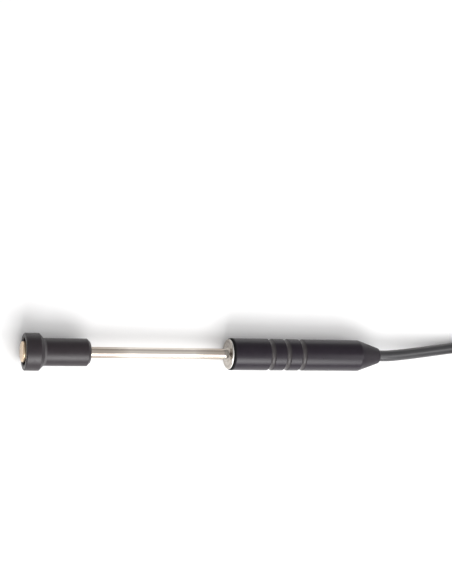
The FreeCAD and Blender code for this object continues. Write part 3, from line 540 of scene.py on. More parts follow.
spring_steel = small_metal("spring steel", (0.56, 0.56, 0.57), 0.28)
ferrule_brass = small_metal("ferrule brass", (0.72, 0.56, 0.30), 0.3)
splice_tin = small_metal("tinned splice", (0.70, 0.69, 0.66), 0.35)
clamp_aluminium = small_metal("clamp aluminium", (0.74, 0.74, 0.75), 0.38)
blade_nickel = small_metal("blade metal", (0.70, 0.67, 0.58), 0.26)
screw_zinc = small_metal("screw zinc", (0.64, 0.64, 0.65), 0.33)
print("small hardware:", spring_steel.name, ferrule_brass.name, splice_tin.name, screw_zinc.name)

# %% Paper for the floor
floor_paper = finish_of("floor paper", (0.90, 0.90, 0.90), 0.9, specular=0.1)
floor_mesh.materials.append(floor_paper)
print("finishes:", len(bpy.data.materials))

# %% [markdown]
# ## Turning a piece
#
# Most of this object comes off a lathe or out of a round mould. A profile of places and radii is spun round
# the axis. Small rounded edges are part of the profile, because a real edge always catches a line of light.
# Blender's Screw modifier could spin the profile too, but a loop gives the finished mesh straight away.
# Smooth shading would bend the straight sides between the edges, so each long side gets a ring of points
# close to both of its ends, and these hold it straight.


# %% Arcs and rounded corners
def arc(x, y, radius, start, end, pieces):
    """Points of an arc from one angle to another, both ends included."""
    angles = [start + (end - start) * step / pieces for step in range(pieces + 1)]
    return [(x + radius * math.cos(angle), y + radius * math.sin(angle)) for angle in angles]


def rounded(profile, pieces=4):
    """Replaces each corner that has a third number, its radius, by a short arc."""
    result = []
    places = [Vector(corner[:2]) for corner in profile]
    for index, corner in enumerate(profile):
        if len(corner) == 2:
            result.append(corner)
            continue
        here, radius = places[index], corner[2]
        back = (places[index - 1] - here).normalized()
        ahead = (places[(index + 1) % len(places)] - here).normalized()
        half = math.acos(max(-1, min(1, back.dot(ahead)))) / 2
        reach = radius / math.tan(half)
        centre = here + (back + ahead).normalized() * radius / math.sin(half)
        start = here + back * reach - centre
        sweep = start.angle_signed(here + ahead * reach - centre)
        for step in range(pieces + 1):
            result.append(tuple(centre + Matrix.Rotation(-sweep * step / pieces, 2) @ start))
    return result


print("a rounded corner has", len(rounded([(0, 0), (0, 1, 0.2), (1, 1)])) - 2, "points")


# %% Hold long sides straight
HOLD = 0.03
LONG_SIDE = 8 * HOLD


def with_holding_rings(profile, closed):
    """Adds a ring close to each end of every long side."""
    held = []
    count = len(profile)
    for index in range(count if closed else count - 1):
        a = Vector(profile[index])
        b = Vector(profile[(index + 1) % count])
        side = b - a
        held.append(tuple(a))
        if side.length > LONG_SIDE:
            held.append(tuple(a + side.normalized() * HOLD))
            held.append(tuple(b - side.normalized() * HOLD))
    if not closed:
        held.append(tuple(profile[-1]))
    return held


# %% Rows of points to a mesh
def skin(form, a, b):
    """Joins two closed rows of points by a belt of faces."""
    for i in range(len(a)):
        j = (i + 1) % len(a)
        form.faces.new((a[i], a[j], b[j], b[i]))


def close_form(form, name, place, smooth=(3, 4)):
    """Turns a form into a mesh; smooth names how many corners the smoothly shaded faces have."""
    bmesh.ops.recalc_face_normals(form, faces=form.faces)
    for face in form.faces:
        face.smooth = len(face.verts) in smooth
    mesh = bpy.data.meshes.new(name)
    form.to_mesh(mesh)
    form.free()
    mesh.transform(place)
    return mesh


# %% Spin a profile
AT_AXIS = 1e-9


def spun_mesh(name, profile, steps):
    """A mesh turned from places and radii; a profile that starts on the axis is closed there."""
    closed = profile[0][1] > AT_AXIS
    profile = with_holding_rings(profile, closed)
    form = bmesh.new()
    rings_of = []
    for where, radius in profile:
        if radius < AT_AXIS:
            rings_of.append([form.verts.new((where, 0, 0))])
            continue
        around = arc(0, 0, radius, 0, 2 * math.pi, steps)[:-1]
        rings_of.append([form.verts.new((where, y, z)) for y, z in around])
    pairs = list(zip(rings_of, rings_of[1:]))
    if closed:
        pairs.append((rings_of[-1], rings_of[0]))
    for first, second in pairs:
        for step in range(steps):
            following = (step + 1) % steps
            corners = [first[step % len(first)], second[step % len(second)]]
            if len(second) > 1:
                corners.append(second[following])
            if len(first) > 1:
                corners.append(first[following])
            form.faces.new(corners)
    return close_form(form, name, Matrix.Scale(MM, 4))


# %% Put a piece in the scene
def link_piece(name, mesh, material, body="probe", place=Matrix()):
    """Puts a mesh in the scene as a finished piece that stands for the CAD node of its name."""
    mesh.materials.append(material)
    piece = bpy.data.objects.new("dressed_" + name, mesh)
    piece.matrix_world = place
    bpy.context.collection.objects.link(piece)
    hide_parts(name)
    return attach(piece, body)


def turned_piece(name, profile, material, body="probe", steps=96, place=lay_down):
    """A finished turned piece, laid down with the probe."""
    mesh = spun_mesh(name, profile, steps)
    return link_piece(name, mesh, material, body, place @ Matrix.Scale(1 / MM, 4))


# %% [markdown]
# ## Head
#
# The head is one black moulding: a wide collar, a short slope, a round body and a bevelled rear end. Its
# mouth is open round the contact. Cylinders cut from cylinders would give it too, but one spun profile keeps
# every ring of points in line. The rim's narrow bevel shows as a thin pale line, and the corner behind the
# slope is hollow, so that it catches the light as a soft curved line; a pale ring painted there is a painted
# highlight that makes this line stronger.

# %% Head housing
HEAD_R = 4.55
HEAD_END = 21.6
MOUTH_R = 4.5
MOUTH_DEPTH = 3.4
CHAMBER_R = 3.2
CHAMBER_END = 13.0
LEAD_WAY_R = 1.45
FERRULE_FRONT = 14.5
FERRULE_END = 19.5
FERRULE_R = 2.8
TUBE_HOLE_R = 1.88
head_profile = [
    (0.0, 4.8, 0.08),
    (0.0, 5.85, 0.10),
    (0.3, COLLAR_R, 0.15),
    (COLLAR_END, COLLAR_R, 0.25),
    (6.2, HEAD_R, 0.8),
    (20.6, HEAD_R, 0.3),
    (HEAD_END, 3.55, 0.25),
    (HEAD_END, TUBE_HOLE_R, 0.06),
    (FERRULE_END, TUBE_HOLE_R),
    (FERRULE_END, FERRULE_R),
    (FERRULE_FRONT, FERRULE_R),
    (FERRULE_FRONT, LEAD_WAY_R),
    (CHAMBER_END, LEAD_WAY_R),
    (CHAMBER_END, CHAMBER_R),
    (MOUTH_DEPTH, CHAMBER_R),
    (MOUTH_DEPTH, MOUTH_R),
    (0.3, MOUTH_R, 0.1),
]
head = turned_piece("head_housing", rounded(head_profile), head_black, steps=128)
print("head faces:", len(head.data.polygons))

# %% [markdown]
# ## Contact
#
# The contact is a small copper plate with a rounded edge and a short pin behind it. It shows the rings of
# the lathe. Two discs could stand for it, but one profile joins the plate to its pin. It moves with its
# carrier and the sensing element, so all three ride on the sliding body.

# %% Contact disc
PLATE_BACK = 0.5
PLATE_R = 3.4
PIN_END = 2.0
PIN_R = 1.6
contact_profile = [
    (CONTACT_FRONT, 0.0),
    (CONTACT_FRONT, PLATE_R, 0.45),
    (PLATE_BACK, PLATE_R, 0.08),
    (PLATE_BACK, PIN_R),
    (PIN_END, PIN_R),
    (PIN_END, 0.0),
]
contact_outline = rounded(contact_profile, pieces=6)
contact = turned_piece("contact_disc", contact_outline, contact_copper, body="contact")
print("contact faces:", len(contact.data.polygons))

# %% [markdown]
# ## Tube and nose
#
# The tube is drawn steel, so its lines run lengthwise. The nose is turned from bar: a flange with a rounded
# rim, and in front of it a small boss that flares out from the tube like a trumpet. Its front face carries
# fine rings, and these spread reflections into the bright and dark sectors that turned faces show. A plain
# cylinder would do for the tube's outside, but a profile also gives it a wall and rounded ends.

# %% Probe tube
TUBE_R = 1.85
TUBE_BORE_R = 1.5
NOSE_END = 80.6
tube_profile = [
    (FERRULE_FRONT, TUBE_BORE_R),
    (FERRULE_FRONT, TUBE_R, 0.05),
    (NOSE_END, TUBE_R, 0.05),
    (NOSE_END, TUBE_BORE_R),
]
tube = turned_piece("probe_tube", rounded(tube_profile), tube_steel)
print("tube faces:", len(tube.data.polygons))

# %% Nose
NOSE_FACE = 70.0
BOSS_START = (68.3, TUBE_HOLE_R)
BOSS_END = (NOSE_FACE, 3.1)
FLARE_R = 1.8
FLANGE_R = 5.1
SPIGOT_R = 4.3
SEAL_FRONT = 73.0
SEAL_END = 73.96
SEAL_SEAT_R = 3.47


def flare(start, end, radius, pieces=8):
    """The short hollow arc from start to end."""
    a, b = Vector(start), Vector(end)
    chord = b - a
    right = Vector((chord.y, -chord.x)).normalized()
    drop = math.sqrt(radius**2 - (chord.length / 2) ** 2)
    centre = (a + b) / 2 - right * drop
    first = math.atan2(a.y - centre.y, a.x - centre.x)
    last = math.atan2(b.y - centre.y, b.x - centre.x)
    return [start, *arc(centre.x, centre.y, radius, first, last, pieces)[1:-1], end]


nose_profile = [
    *flare(BOSS_START, BOSS_END, FLARE_R),
    (NOSE_FACE, FLANGE_R, 0.24),
    (HANDLE_FRONT, FLANGE_R),
    (HANDLE_FRONT, SPIGOT_R),
    (SEAL_FRONT, SPIGOT_R),
    (SEAL_FRONT, SEAL_SEAT_R),
    (SEAL_END, SEAL_SEAT_R),
    (SEAL_END, SPIGOT_R),
    (NOSE_END, SPIGOT_R),
    (NOSE_END, TUBE_HOLE_R),
]
nose_outline = rounded(nose_profile, pieces=6)
nose = turned_piece("handle_nose", nose_outline, nose_steel, steps=128)
print("nose points:", len(nose_outline), "faces:", len(nose.data.polygons))

# %% [markdown]
# ## Handle sleeve
#
# The sleeve is a long black moulding with three rounded grip grooves near its front and a straight taper at
# the rear. The grooves could be cut by three rings, but a shallow arc in the profile gives each of them
# without a cut, and the shading round it stays clean.

# %% Handle sleeve
GROOVE_HALF = 0.95
GROOVE_DEPTH = 0.42
SLEEVE_GAP = 0.08
SPIGOT_HOLE_R = 4.33
CABLE_HOLE_R = 2.13
BORE_END = 117.0
BORE_R = 3.8


def groove_points(centre):
    """The profile across one groove, from its front shoulder to its rear one."""
    radius = (GROOVE_HALF**2 + GROOVE_DEPTH**2) / (2 * GROOVE_DEPTH)
    reach = math.asin(GROOVE_HALF / radius)
    down = -math.pi / 2
    return arc(centre, HANDLE_R - GROOVE_DEPTH + radius, radius, down - reach, down + reach, 10)


sleeve_profile = [
    (HANDLE_FRONT, SPIGOT_HOLE_R),
    (HANDLE_FRONT, HANDLE_R, 0.42),
    *[point for centre in GROOVES for point in groove_points(centre)],
    (TAPER_START, HANDLE_R, 1.8),
    (HANDLE_END, 2.68, 0.6),
    (HANDLE_END, CABLE_HOLE_R),
    (BORE_END, CABLE_HOLE_R),
    (BORE_END, BORE_R),
    (NOSE_END + SLEEVE_GAP, BORE_R),
    (NOSE_END + SLEEVE_GAP, SPIGOT_HOLE_R),
]
sleeve_outline = rounded(sleeve_profile, pieces=5)
sleeve = turned_piece("handle_sleeve", sleeve_outline, handle_black, steps=128)
print("sleeve points:", len(sleeve_outline), "faces:", len(sleeve.data.polygons))

# %% [markdown]
# ## Contact spring
#
# The spring pushes the contact out. It is wound from wire, and its end turns lie flat. The Screw modifier
# could wind a coil, but with one pitch only, and a loop can flatten the ends. When the contact is pressed in,
# the spring gets shorter towards the chamber's floor.

# %% Wind the spring
SPRING_FRONT = 4.48
SPRING_REAR = 12.97
SPRING_R = 2.7
WIRE_R = 0.225
TURNS = 6.0
FLAT_TURNS = 0.8
FLAT_PITCH = 2.1 * WIRE_R
STEPS_PER_TURN = 28
WIRE_SIDES = 8


def wire_place(turn_number):
    """Where along the axis the wire is: the flat end turns only rise by their own thickness."""
    low = SPRING_FRONT + WIRE_R
    high = SPRING_REAR - WIRE_R
    if turn_number < FLAT_TURNS:
        return low + turn_number * FLAT_PITCH
    if turn_number > TURNS - FLAT_TURNS:
        return high - (TURNS - turn_number) * FLAT_PITCH
    share = (turn_number - FLAT_TURNS) / (TURNS - 2 * FLAT_TURNS)
    flat = FLAT_TURNS * FLAT_PITCH
    return low + flat + share * (high - low - 2 * flat)


def spring_mesh(name):
    """A coil of round wire."""
    form = bmesh.new()
    loops = []
    for step in range(int(TURNS * STEPS_PER_TURN) + 1):
        turn_number = step / STEPS_PER_TURN
        angle = 2 * math.pi * turn_number
        out = Vector((0, math.cos(angle), math.sin(angle)))
        centre = Vector((wire_place(turn_number), 0, 0)) + out * SPRING_R
        section = arc(0, 0, WIRE_R, 0, 2 * math.pi, WIRE_SIDES)[:-1]
        loops.append([form.verts.new(centre + out * far + Vector((side, 0, 0))) for far, side in section])
    for a, b in zip(loops, loops[1:]):
        skin(form, a, b)
    form.faces.new(loops[0])
    form.faces.new(list(reversed(loops[-1])))
    return close_form(form, name, lay_down)


# %% Spring in its place
spring = link_piece("contact_spring", spring_mesh("contact_spring"), spring_steel)
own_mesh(spring)

# %% [markdown]
# ## Pieces that stay as CAD solids
#
# The ferrule, the seal, the leads, the splices and the clamp are inside and have plain round shapes, and the
# plug's blades are flat bars, so the CAD solids are already right. Each only gets its own finish.

# %% Dress the solids
SOLID_FINISHES = {
    "stop_ring": spring_steel,
    "contact_carrier": carrier_tan,
    "sensor_element": sensor_resin,
    "tube_ferrule": ferrule_brass,
    "nose_seal": seal_black,
    "lead_wire_left": lead_cream,
    "lead_wire_right": lead_cream,
    "splice_left": splice_tin,
    "splice_right": splice_tin,
    "shrink_sleeve_left": shrink_black,
    "shrink_sleeve_right": shrink_black,
    "cable_core_left": core_green,
    "cable_core_right": core_white,
    "plug_core_left": core_green,
    "plug_core_right": core_white,
    "cable_clamp": clamp_aluminium,
    "plug_blade_wide": blade_nickel,
    "plug_blade_narrow": blade_nickel,
}
for node, material in SOLID_FINISHES.items():
    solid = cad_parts[node]
    solid.data.materials.clear()
    solid.data.materials.append(material)
print("solids dressed:", len(SOLID_FINISHES))

# %% [markdown]
# ## Cable and hank
#
# The cable leaves the handle straight, sinks to the floor within a few centimetres and runs on behind the
# probe. The metre of it that the picture doesn't show is put away: folded four times round two ends, drawn in
# at the middle by a strap, and laid in two layers. A loop works out the turns, because a hank follows a rule:
# each run lies beside or on the last, and it changes column or layer at a fold. All places are in millimetres
# from the hank's middle, and a run's column is how far it lies from the middle line. A simulation could drop
# a rope on the floor, but it wouldn't fold it into a hank, so one curve with a round section follows a route
# that is worked out here.

# %% Sizes of the hank
CABLE_D = 4.0
HALF_RUN = 30.0
FOLD_INNER = 12.0
FOLD_OUTER = FOLD_INNER + CABLE_D
FOLD_GROOVE = (FOLD_INNER + FOLD_OUTER) / 2
WAIST_INNER = CABLE_D / 2
WAIST_OUTER = CABLE_D * 1.5
LOW = CABLE_D / 2
HIGH = CABLE_D * 1.5
TOP = CABLE_D * 2.5
GROOVE_HIGH = HIGH + math.sqrt(CABLE_D**2 - (CABLE_D / 2) ** 2)
CLEAR_OVER = 0.45
STRAP_THICK = 0.9
SHELL_THICK = 4.0
PLUG_AXIS = 2 * CABLE_D + SHELL_THICK
BOOT_START = 14.0
HANK_GAP = 38
HANK_X = on_axis(HANDLE_END).x / MM + HANK_GAP + HALF_RUN + FOLD_OUTER + CABLE_D / 2
HANK_Y = -10.0
print("hank's middle:", round(HANK_X, 2), HANK_Y)


# %% Soft and round changes
def clamped(share):
    """The share, kept between 0 and 1."""
    return min(max(share, 0), 1)


def ease(share):
    """0 to 1 with a soft start and a soft end."""
    share = clamped(share)
    return share * share * (3 - 2 * share)


def quarter(share):
    """0 to 1 along a quarter circle, steep at first."""
    return math.sqrt(1 - (1 - clamped(share)) ** 2)


# %% Columns of the runs
# how far past the hank's middle a run starts to change, and over what length
MOVE_IN_FROM = 6
MOVE_UP_FROM = -2
MOVE_LENGTH = 22


def column(x, waist, fold):
    """How far a run is from the hank's middle line: two equal arcs from the waist to the fold."""
    drop = fold - waist
    radius = (HALF_RUN**2 + drop**2) / (4 * drop)
    x = abs(x)
    if x <= HALF_RUN / 2:
        return waist + radius - math.sqrt(radius**2 - x**2)
    return fold - radius + math.sqrt(radius**2 - (HALF_RUN - x) ** 2)


def inner(x):
    """The column beside the middle line."""
    return column(x, WAIST_INNER, FOLD_INNER)


def outer(x):
    """The column beyond the inner one."""
    return column(x, WAIST_OUTER, FOLD_OUTER)


def inner_to_outer(x):
    """Changes column between the waist and the near fold."""
    share = ease(-x / HALF_RUN)
    return inner(x) * (1 - share) + outer(x) * share


def outer_to_groove(x):
    """Moves in to lie in the groove between the two columns below."""
    return outer(x) - (FOLD_OUTER - FOLD_GROOVE) * ease((-x - MOVE_IN_FROM) / MOVE_LENGTH)


# %% Folds and heights
CLIMB_PACE = 1.15
LIFT_START = 13
LIFT_LENGTH = 9


def drawn_in(share):
    """A fold that ends in the inner column."""
    return FOLD_OUTER + (FOLD_INNER - FOLD_OUTER) * ease(share)


def up_a_layer(share):
    """The height of a fold that climbs onto the first layer."""
    return LOW + CABLE_D * quarter(CLIMB_PACE * share)


def up_to_groove(x):
    """The height of the run that climbs over the third turn."""
    climb = GROOVE_HIGH + CLEAR_OVER - HIGH
    return HIGH + climb * quarter((-x - MOVE_UP_FROM) / MOVE_LENGTH)


def into_groove(share):
    """The height of the fold that settles in the groove."""
    return GROOVE_HIGH + CLEAR_OVER * (1 - ease(2 * share))


def over_strap(x, height):
    """A run's height, raised where it passes over the strap."""
    return height + STRAP_THICK * ease((LIFT_START - abs(x)) / LIFT_LENGTH)


def at(rule, where):
    """A rule is a number or a function of the place."""
    return rule(where) if callable(rule) else rule


# %% Fold the turns
RUN_PLACES = range(-30, 31, 5)
FOLD_PIECES = 9
# a run's column and height, then the radius and height of the fold that ends it
HALF_TURNS = (
    (outer, LOW, FOLD_OUTER, LOW),
    (outer, LOW, drawn_in, LOW),
    (inner, LOW, FOLD_INNER, LOW),
    (inner, LOW, FOLD_INNER, up_a_layer),
    (inner, HIGH, FOLD_INNER, HIGH),
    (inner_to_outer, HIGH, FOLD_OUTER, HIGH),
    (outer, HIGH, FOLD_OUTER, HIGH),
    (outer_to_groove, up_to_groove, FOLD_GROOVE, into_groove),
)

turns = []
for number, (run_column, run_height, fold_radius, fold_height) in enumerate(HALF_TURNS):
    end = -1 if number % 2 else 1
    for x in RUN_PLACES:
        turns.append((end * x, end * at(run_column, end * x), over_strap(x, at(run_height, end * x))))
    for step in range(1, FOLD_PIECES):
        share = step / FOLD_PIECES
        radius = at(fold_radius, share)
        x = end * (HALF_RUN + radius * math.sin(math.pi * share))
        turns.append((x, end * radius * math.cos(math.pi * share), at(fold_height, share)))
del turns[0]
print("points in the turns:", len(turns))

# %% Last run, through the strap and up into the plug
STRAP_EDGE = 3
RISE_FROM = -26
RISE_LENGTH = 14


def last_column(x):
    """From the groove to the middle line."""
    groove = (inner(x) + outer(x)) / 2
    return groove * ease((-x - STRAP_EDGE) / (HALF_RUN - STRAP_EDGE))


def last_height(x):
    """Up to the top of the hank, and past the strap to the plug's axis."""
    if x > STRAP_EDGE:
        climb = PLUG_AXIS - TOP - STRAP_THICK
        return TOP + STRAP_THICK + climb * ease((x - STRAP_EDGE) / (BOOT_START - STRAP_EDGE))
    return GROOVE_HIGH + (TOP - GROOVE_HIGH) * ease((x - RISE_FROM) / RISE_LENGTH)


for x in (-30, -26, -22, -18, -14, -10, -7, -4, 0, STRAP_EDGE):
    turns.append((x, last_column(x), over_strap(x, last_height(x))))
for x in (6, 9, 12, 14, 18, 22, 24.6):
    turns.append((x, 0, last_height(x)))

hank_points = [Vector((HANK_X + x, HANK_Y + y, z)) * MM for x, y, z in turns]
print("hank points:", len(hank_points))

# %% Route of the free cable
free_points = [
    on_axis(108.0),
    on_axis(118.0),
    on_axis(127.0),
    on_axis(134.0),
    Vector((97.5, 3.3, 2.3)) * MM,
    Vector((HANK_X - HALF_RUN - 4, HANK_Y + FOLD_OUTER, CABLE_D / 2 + 0.05)) * MM,
]
route = free_points + hank_points
print("free cable starts at", route[0])

# %% Draw the cable
cable_curve = bpy.data.curves.new("cable", "CURVE")
cable_curve.dimensions = "3D"
cable_curve.bevel_depth = CABLE_D / 2 * MM
cable_curve.bevel_resolution = 5
cable_curve.resolution_u = 5
cable_curve.use_fill_caps = True
spline = cable_curve.splines.new("NURBS")
spline.points.add(len(route) - 1)
for point, place in zip(spline.points, route):
    point.co = (*place, 1)
spline.order_u = 3
spline.use_endpoint_u = True
cable_curve.materials.append(jacket_black)
cable = bpy.data.objects.new("cable", cable_curve)
bpy.context.collection.objects.link(cable)
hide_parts("cable_lead", "cable_hank")
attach(cable, "probe")
polyline = sum((b - a).length for a, b in zip(route, route[1:]))
print("points:", len(route), "length of the control line:", round(polyline, 4))

# %% [markdown]
# ## Strap
#
# A strap of woven hook tape holds the hank at its middle. It is a flat band bent round the cable, with its
# end laid over itself on top. Cloth could be wrapped by a simulation, but a short stiff tape keeps the shape
# that it is bent to, so a closed path with rounded corners and a thickness gives it.

# %% Sizes of the strap
TAPE_THICK = 0.8
TAPE_HALF = 4.0
FLAP_HALF = 3.7
STRAP_TOP = 3 * CABLE_D + STRAP_THICK
STRAP_CORNER = 2.0
# places across the hank and heights above the strap's inner top, under and over the tape's loose end
FLAP_UNDER = ((-7.8, -0.1), (-6.3, 0.8), (-3.0, 0.82), (0.0, 0.82), (3.0, 0.82), (5.2, 0.83))
FLAP_OVER = ((-8.3, 0.3), (-6.4, 1.35), (-3.0, 1.42), (0.0, 1.42), (3.0, 1.4), (5.3, 1.36))
hank_place = Matrix.Translation((HANK_X * MM, HANK_Y * MM, 0)) @ Matrix.Scale(MM, 4)


# %% Paths and tape
def rounded_box(left, right, low, high, corner, pieces=6):
    """A rectangle with round corners, clockwise from the right end of its top."""
    corners = (
        (right - corner, high - corner, 90),
        (right - corner, low + corner, 0),
        (left + corner, low + corner, -90),
        (left + corner, high - corner, -180),
    )
    points = []
    for x, y, start in corners:
        points += arc(x, y, corner, math.radians(start), math.radians(start - 90), pieces)
    return points


def strap_path(grown):
    """The strap's path, its inner face where grown is 0."""
    half = 2 * CABLE_D + grown
    return rounded_box(-half, half, STRAP_THICK - grown, STRAP_TOP + grown, STRAP_CORNER + grown)


def band_mesh(name, inside, outside, half_width, closed=True):
    """A tape between two paths of the same number of points."""
    form = bmesh.new()
    rows = []
    for (iy, iz), (oy, oz) in zip(inside, outside):
        inner_edge = [(-half_width, iy, iz), (half_width, iy, iz)]
        outer_edge = [(half_width, oy, oz), (-half_width, oy, oz)]
        rows.append([form.verts.new(point) for point in inner_edge + outer_edge])
    for a, b in zip(rows, rows[1:]):
        skin(form, a, b)
    if closed:
        skin(form, rows[-1], rows[0])
    else:
        form.faces.new(rows[0])
        form.faces.new(list(reversed(rows[-1])))
    return close_form(form, name, hank_place)


def soften(piece, width):
    """Rounds a piece's edges."""
    bevel = piece.modifiers.new("rounded edges", "BEVEL")
    bevel.width = width * MM
    bevel.segments = 2
    bevel.limit_method = "ANGLE"
    bevel.angle_limit = math.radians(35)


# %% Strap round the hank
strap_mesh = band_mesh("hank_tie", strap_path(0), strap_path(TAPE_THICK), TAPE_HALF)
strap = link_piece("hank_tie", strap_mesh, strap_black)
soften(strap, 0.2)
flap_under, flap_over = [[(y, STRAP_TOP + z) for y, z in path] for path in (FLAP_UNDER, FLAP_OVER)]
flap_mesh = band_mesh("strap_end", flap_under, flap_over, FLAP_HALF, closed=False)
flap_mesh.materials.append(strap_black)
flap = bpy.data.objects.new("strap_end", flap_mesh)
bpy.context.collection.objects.link(flap)
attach(flap, "probe")
soften(flap, 0.15)
print("strap faces:", len(strap_mesh.polygons), "loose end:", len(flap_mesh.polygons))

# %% [markdown]
# ## Plug
#
# The cable ends in a small flat plug with a wide and a narrow blade. Its shell is two screwed halves that
# meet at a parting line, and its sides have finger ridges. A box with a bevel could stand for it, but would
# have no ridges. Both halves come from one outline that is repeated at several levels and drawn in at the
# edge.

# %% Sizes of the shell
SHELL_START = 22.0
SHELL_LENGTH = 19.0
SHELL_HALF = 8.15
SHELL_CORNER = 2.0
SHELL_EDGE = 0.6
EDGE_PIECES = 3
SEAM_BEVEL = 0.18
SEAM_HALF_GAP = 0.03
SIDE_PIECES = 24
RIDGE_FROM = 4.2
RIDGE_TO = 15.2
RIDGE_PITCH = 2.2
RIDGE_HALF_DEPTH = 0.16
CENTRE_FROM_END = 4
ON_SIDE = 0.01
SCREW_ALONG = 5.5
SCREW_ASIDE = 4.8
SCREW_HEAD = 1.4
RECESS_R = 1.95
plug_place = Matrix.Translation(((HANK_X + SHELL_START) * MM, HANK_Y * MM, 0)) @ Matrix.Scale(MM, 4)
print("plug starts at", round(HANK_X + SHELL_START, 2), "mm")


# %% Outline of the shell
def shell_outline():
    """The shell's outline, with extra points along its two long sides for the finger ridges."""
    outline = rounded_box(0, SHELL_LENGTH, -SHELL_HALF, SHELL_HALF, SHELL_CORNER)
    dense = []
    for (x0, y0), (x1, y1) in zip(outline, outline[1:] + outline[:1]):
        parts = SIDE_PIECES if abs(x1 - x0) > SHELL_LENGTH / 2 else 1
        for part in range(parts):
            share = part / parts
            dense.append((x0 + (x1 - x0) * share, y0 + (y1 - y0) * share))
    return dense


def shell_point(x, y, inset):
    """A point of the outline, drawn in by the inset and by the ridges' depth there."""
    ridge = 0.0
    if RIDGE_FROM < x < RIDGE_TO and SHELL_HALF - abs(y) < ON_SIDE:
        ridge = RIDGE_HALF_DEPTH * (1 - math.cos(2 * math.pi * (x - RIDGE_FROM) / RIDGE_PITCH))
    centre = Vector((min(max(x, CENTRE_FROM_END), SHELL_LENGTH - CENTRE_FROM_END), 0))
    reach = Vector((x, y)) - centre
    return centre + reach * (1 - (inset + ridge) / reach.length)


# %% Shell halves
def recess_ring(form, aside, level):
    """A ring of points of a screw's recess."""
    ring = arc(SCREW_ALONG, aside, RECESS_R, 0, 2 * math.pi, 32)[:-1]
    return [form.verts.new((x, y, level)) for x, y in ring]


def ring_edges(ring):
    """The edges between the ring's neighbours."""
    pairs = zip(ring, ring[1:] + ring[:1])
    return [edge for a, b in pairs for edge in a.link_edges if edge.other_vert(a) is b]


def shell_mesh(name, side):
    """One half of the shell: side is 1 for the upper half, which has the screws' recesses, or -1."""
    seam = PLUG_AXIS + side * SEAM_HALF_GAP
    face = PLUG_AXIS + side * SHELL_THICK
    levels = [(seam, SEAM_BEVEL), (seam + side * SEAM_BEVEL, 0.0)]
    for depth, inset in arc(SHELL_EDGE, SHELL_EDGE, SHELL_EDGE, -math.pi / 2, -math.pi, EDGE_PIECES):
        levels.append((face - side * depth, inset))
    form = bmesh.new()
    rings_of = []
    for level, inset in levels:
        spots = [shell_point(x, y, inset) for x, y in shell_outline()]
        rings_of.append([form.verts.new((spot.x, spot.y, level)) for spot in spots])
    for a, b in zip(rings_of, rings_of[1:]):
        skin(form, a, b)
    form.faces.new(rings_of[0])
    if side == 1:
        rims = [ring_edges(rings_of[-1])]
        for aside in (SCREW_ASIDE, -SCREW_ASIDE):
            upper = recess_ring(form, aside, face)
            lower = recess_ring(form, aside, face - SCREW_HEAD)
            skin(form, upper, lower)
            form.faces.new(lower)
            rims.append(ring_edges(upper))
        bmesh.ops.triangle_fill(form, edges=[edge for rim in rims for edge in rim], use_beauty=True)
    else:
        form.faces.new(rings_of[-1])
    return close_form(form, name, plug_place, smooth=(4,))


base = link_piece("plug_base", shell_mesh("plug_base", -1), plug_black)
cover = link_piece("plug_cover", shell_mesh("plug_cover", 1), plug_black)
print("shell faces:", len(base.data.polygons), len(cover.data.polygons))

# %% [markdown]
# ## Boot
#
# The boot is a short rubber sleeve that keeps the cable from kinking where it goes into the plug. Its grooves
# let it bend. Separate rings could show them, but one turned profile keeps the boot in one piece.

# %% Turn the boot
BOOT_BORE_R = 2.03
BOOT_RIDGES = 4
RIDGE_STEPS = ((0, 0), (0.2, -0.35), (0.7, -0.35), (0.9, 0.08))
plug_axis = Matrix.Translation((HANK_X * MM, HANK_Y * MM, PLUG_AXIS * MM)) @ Matrix.Scale(MM, 4)
boot_profile = [(BOOT_START, BOOT_BORE_R), (BOOT_START, 2.6), (14.15, 2.7)]
for ridge in range(BOOT_RIDGES):
    start = 14.9 + ridge * 1.6
    radius = 2.75 + 0.15 * ridge
    boot_profile += [(start + ahead, radius + out) for ahead, out in RIDGE_STEPS]
boot_profile += [(21.8, 3.4), (SHELL_START, 3.3), (SHELL_START, BOOT_BORE_R)]
boot = turned_piece("plug_boot", boot_profile, boot_black, steps=48, place=plug_axis)
print("boot faces:", len(boot.data.polygons))

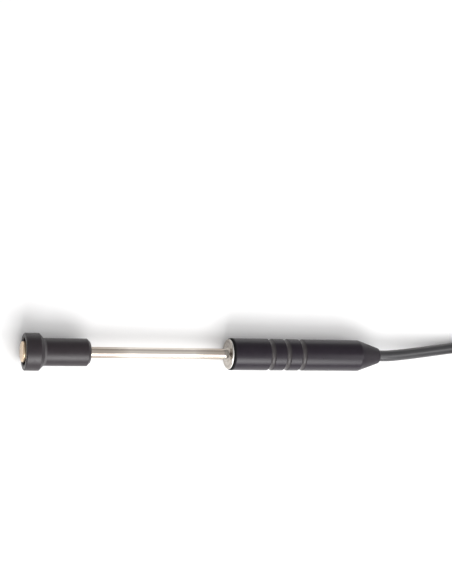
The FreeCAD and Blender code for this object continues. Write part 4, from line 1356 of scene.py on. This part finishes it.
# %% [markdown]
# ## Screws
#
# Two slotted screws hold the shell's halves together. The slot could be cut out of a round head by a Boolean,
# but two half heads with a lower floor between them give the same slot from plain prisms.


# %% Upright prism
def prism(form, outline, low, high, edge=0.0):
    """A closed upright prism; edge bevels its upper rim."""
    centre = sum((Vector(point) for point in outline), Vector((0, 0))) / len(outline)
    levels = [(low, 1.0), (high - edge, 1.0)]
    if edge:
        reach = max((Vector(point) - centre).length for point in outline)
        levels.append((high, 1 - edge / reach))
    rows = []
    for height, share in levels:
        row = [centre + (Vector(point) - centre) * share for point in outline]
        rows.append([form.verts.new((point.x, point.y, height)) for point in row])
    for a, b in zip(rows, rows[1:]):
        skin(form, a, b)
    form.faces.new(rows[0])
    form.faces.new(rows[-1])


# %% Slotted screws
SCREW_HEAD_R = 1.8
HEAD_BEVEL = 0.12
SLOT_HALF = 0.26
SLOT_DEPTH = 0.7
SHANK_R = 1.0
SHANK_END = -6.5


def screw_mesh(name, aside, turned_to):
    """A slotted cap screw: two halves of the head, the slot's floor between them, and the shank below."""
    form = bmesh.new()
    reach = math.asin(SLOT_HALF / SCREW_HEAD_R)
    half = arc(0, 0, SCREW_HEAD_R, reach, math.pi - reach, 16)
    prism(form, half, -SCREW_HEAD, 0, edge=HEAD_BEVEL)
    prism(form, [(x, -y) for x, y in half], -SCREW_HEAD, 0, edge=HEAD_BEVEL)
    end = arc(0, 0, SCREW_HEAD_R, -reach, reach, 4)
    prism(form, end + [(-x, -y) for x, y in end], -SCREW_HEAD, -SLOT_DEPTH)
    prism(form, arc(0, 0, SHANK_R, 0, 2 * math.pi, 24)[:-1], SHANK_END, -SCREW_HEAD)
    spot = Matrix.Translation((SCREW_ALONG, aside, PLUG_AXIS + SHELL_THICK))
    return close_form(form, name, plug_place @ spot @ Matrix.Rotation(turned_to, 4, "Z"), smooth=())


SCREWS = (("plug_screw_left", SCREW_ASIDE, 35), ("plug_screw_right", -SCREW_ASIDE, -60))
screws = [
    link_piece(node, screw_mesh(node, aside, math.radians(degrees)), screw_zinc)
    for node, aside, degrees in SCREWS
]
print("screws:", [screw.name for screw in screws])
